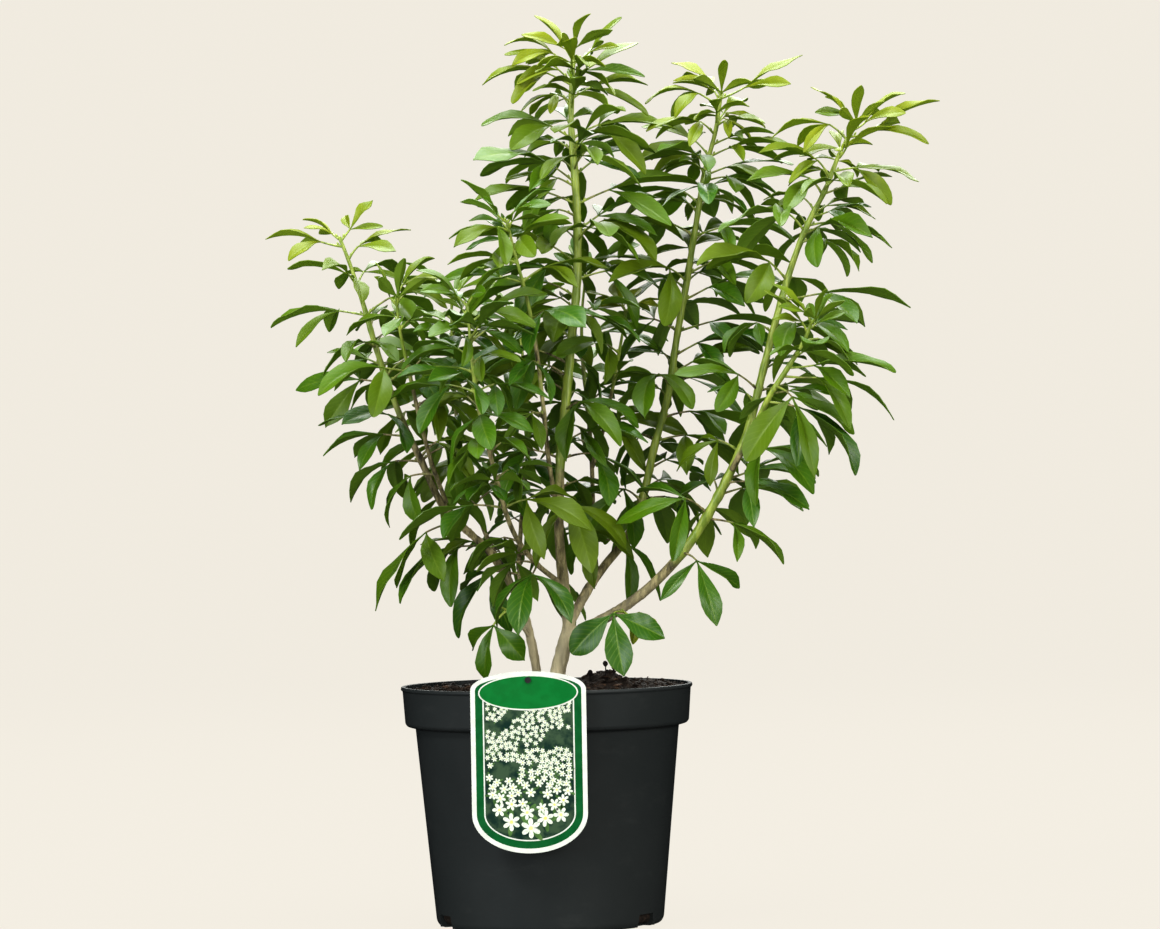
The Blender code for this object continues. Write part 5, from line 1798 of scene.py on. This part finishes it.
def add_stalk(shape, leaf):
    """A leaf's stalk: thicker at its foot, and bent from the way it leaves to the leaf's own axis."""
    hub = leaf.root + leaf.leave * leaf.petiole
    shares = [step / STALK_STEPS for step in range(STALK_STEPS + 1)]
    lift = leaf.leave.cross(leaf.axis).length * leaf.petiole * STALK_BEND
    side = leaf.leave - leaf.axis * leaf.leave.dot(leaf.axis)
    side = side.normalized() if side.length > 1e-4 else leaf.normal
    centres = [leaf.root.lerp(hub, share) + side * lift * math.sin(math.pi * share) for share in shares]
    ways = [leaf.leave.lerp(leaf.axis, share * STALK_TURN).normalized() for share in shares]
    thick, thin = STALK_RADII
    radii = [thick + (thin - thick) * min(1, STALK_THINNING * share) for share in shares]
    for ring in add_tube(shape, centres, ways, radii, STALK_SIDES):
        paint(ring, shape.verts.layers.float["woody"], STALK_WOOD * math.sqrt(1 - min(1.0, leaf.share)))
    return centres[-1]


def add_bud(shape, leaf, branch):
    """A small green bud in the leaf's axil."""
    foot = leaf.root + leaf.leave * branch.radius(0) * BUD_OUT + UP * BUD_UP
    way = (leaf.leave + UP * BUD_STEEPNESS).normalized()
    place = frame_at(foot, way, way.orthogonal().normalized(), 1)
    place = place @ Matrix.Diagonal((BUD_WIDTH / 2, BUD_WIDTH / 2, BUD_LENGTH / 2, 1))
    bmesh.ops.create_icosphere(shape, subdivisions=1, radius=1, matrix=place)


def new_layers(shape):
    """Adds to a shape the values that the leaves' and stems' finishes read."""
    for name in ("across", "along", "youth", "tone", "woody"):
        shape.verts.layers.float.new(name)
    return shape


def make_leafy_stem(name, branch, leaves, finishes):
    """A stem with its leaves: blades are thickened sheets, joined to the stem and the stalks."""
    draw = random.Random("blades of " + name)
    width, shade = (LOW_WIDTH, LOW_TONE) if name in LOW_STEMS else (1.0, 0.0)
    stems, blades = new_layers(bmesh.new()), new_layers(bmesh.new())
    add_fine_stem(stems, branch, leaves, 1.0 if name in WOOD_REACH else INNER_THIN,
                  WOOD_REACH.get(name, INNER_REACH))
    for leaf in leaves:
        youth = leaf_youth(name, leaf, draw)
        tone = shade * (1 - youth) + draw.gauss(0, LEAF_TONE) * (1 - EVENING * youth)
        part = new_layers(bmesh.new())
        hub = add_stalk(part, leaf)
        add_bud(part, leaf, branch)
        pour(stems, part)
        add_blade(blades, hub, leaf.axis, leaf.normal, leaf.size, width, leaf, draw, youth, tone)
        for side in (1, -1):
            way, face_up = side_frame(leaf, side)
            length = leaf.size * SIDE_LEAFLET * draw.uniform(*SIDE_DRAW)
            add_blade(blades, hub, way, face_up, length, width, leaf, draw, youth, tone)
    sheets = add_object("sheets", make_mesh("sheets", blades, finishes))
    thicken = sheets.modifiers.new("thicken", "SOLIDIFY")
    thicken.thickness = FINE_BLADE * MM
    thicken.offset = -1.0
    thicken.material_offset = UNDER_FINISH
    settle_mesh(sheets)
    set_finish(stems.verts, STEM_FINISH)
    resize(stems, MM)
    bmesh.ops.recalc_face_normals(stems, faces=stems.faces)
    stems.from_mesh(sheets.data)
    bpy.data.objects.remove(sheets, do_unlink=True)
    resize(stems, 1 / MM)
    add_piece("foliage_" + name, make_mesh("foliage_" + name, stems, finishes, STEM_SHARP), "green_foliage",
              "leafy_stem_" + name)


def make_plant():
    """Grows the stems, sets the leaves on them, and makes a piece of each stem and each trunk."""
    branches = grow_stems()
    foliage = Foliage(branches)
    foliage.settle_lone()
    foliage.settle_pairs()
    foliage.settle_tufts()
    foliage.fill()
    shoot = stem_finish()
    finishes = [leaf_finish("leaf_face", False), leaf_finish("leaf_underside", True), shoot]
    for name, branch in branches.items():
        make_leafy_stem(name, branch, foliage.leaves[name], finishes)
    for trunk, names in TRUNKS.items():
        make_trunk(trunk, [branches[name] for name in names], shoot)


# Camera, light and backdrop


def set_camera():
    """A level camera in front of the plant, turned a little about its view as the photograph is."""
    camera = bpy.data.cameras.new("photo_camera")
    camera.sensor_width = SENSOR
    distance = -EYE[1] * MM
    camera.lens = SENSOR * distance * PIXELS_PER_METRE / PHOTO[0]
    eye = add_object("photo_camera", camera)
    eye.location = Vector(EYE) * MM
    eye.rotation_euler = (math.radians(90), math.radians(ROLL), 0)
    bpy.context.scene.camera = eye


def add_light(name, place, size, power, colour):
    """A round light that faces the plant."""
    light = bpy.data.lights.new(name, "AREA")
    light.shape = "DISK"
    light.size = size
    light.energy = power
    light.color = colour
    lamp = add_object(name, light)
    lamp.location = place
    lamp.rotation_euler = (LIT_POINT - Vector(place)).to_track_quat("-Z", "Y").to_euler()


def set_light():
    """The studio: a pale sky that lights but isn't mirrored, soft lights, and how colours are shown."""
    scene = bpy.context.scene
    scene.view_settings.view_transform = "Standard"
    scene.view_settings.gamma = CONTRAST
    world = bpy.data.worlds.new("studio")
    world.use_nodes = True
    sky = world.node_tree.nodes["Background"]
    sky.inputs["Color"].default_value = (*SKY_COLOUR, 1)
    sky.inputs["Strength"].default_value = SKY_STRENGTH
    scene.world = world
    world.cycles_visibility.glossy = False
    for light in LIGHTS:
        add_light(*light)


def set_backdrop():
    """A pale sheet all round: a floor that bends up into a wall, so that no side of it shows an edge."""
    profile = [(0, 0), (BACKDROP_RADIUS - BACKDROP_BEND, 0)]
    for step in range(1, BACKDROP_STEPS + 1):
        angle = math.pi / 2 * step / BACKDROP_STEPS
        profile.append((BACKDROP_RADIUS - BACKDROP_BEND + BACKDROP_BEND * math.sin(angle),
                        BACKDROP_BEND * (1 - math.cos(angle))))
    profile.append((BACKDROP_RADIUS, BACKDROP_HEIGHT))
    shape = turned(profile, BACKDROP_SIDES)
    finish = Finish("pale_paper")
    glow = finish.node("ShaderNodeEmission", {"Color": (*PAPER, 1), "Strength": 1.0}).outputs[0]
    matt = finish.node("ShaderNodeBsdfDiffuse", {"Color": (*PAPER, 1)}).outputs[0]
    finish.blend(PAPER_GLOW, matt, glow)
    backdrop = add_object("backdrop", make_mesh("backdrop", shape, [finish.material]))
    backdrop.visible_diffuse = False
    backdrop.visible_glossy = False


def dress_clip():
    """The clip keeps the frame's mesh, which is fine enough, and gets its finish."""
    clip = frame["nodes"]["label_clip"]
    clip.data.materials.clear()
    clip.data.materials.append(black_plastic_finish())


set_camera()
set_light()
set_backdrop()
make_pot()
make_soil()
make_label()
dress_clip()
make_plant()
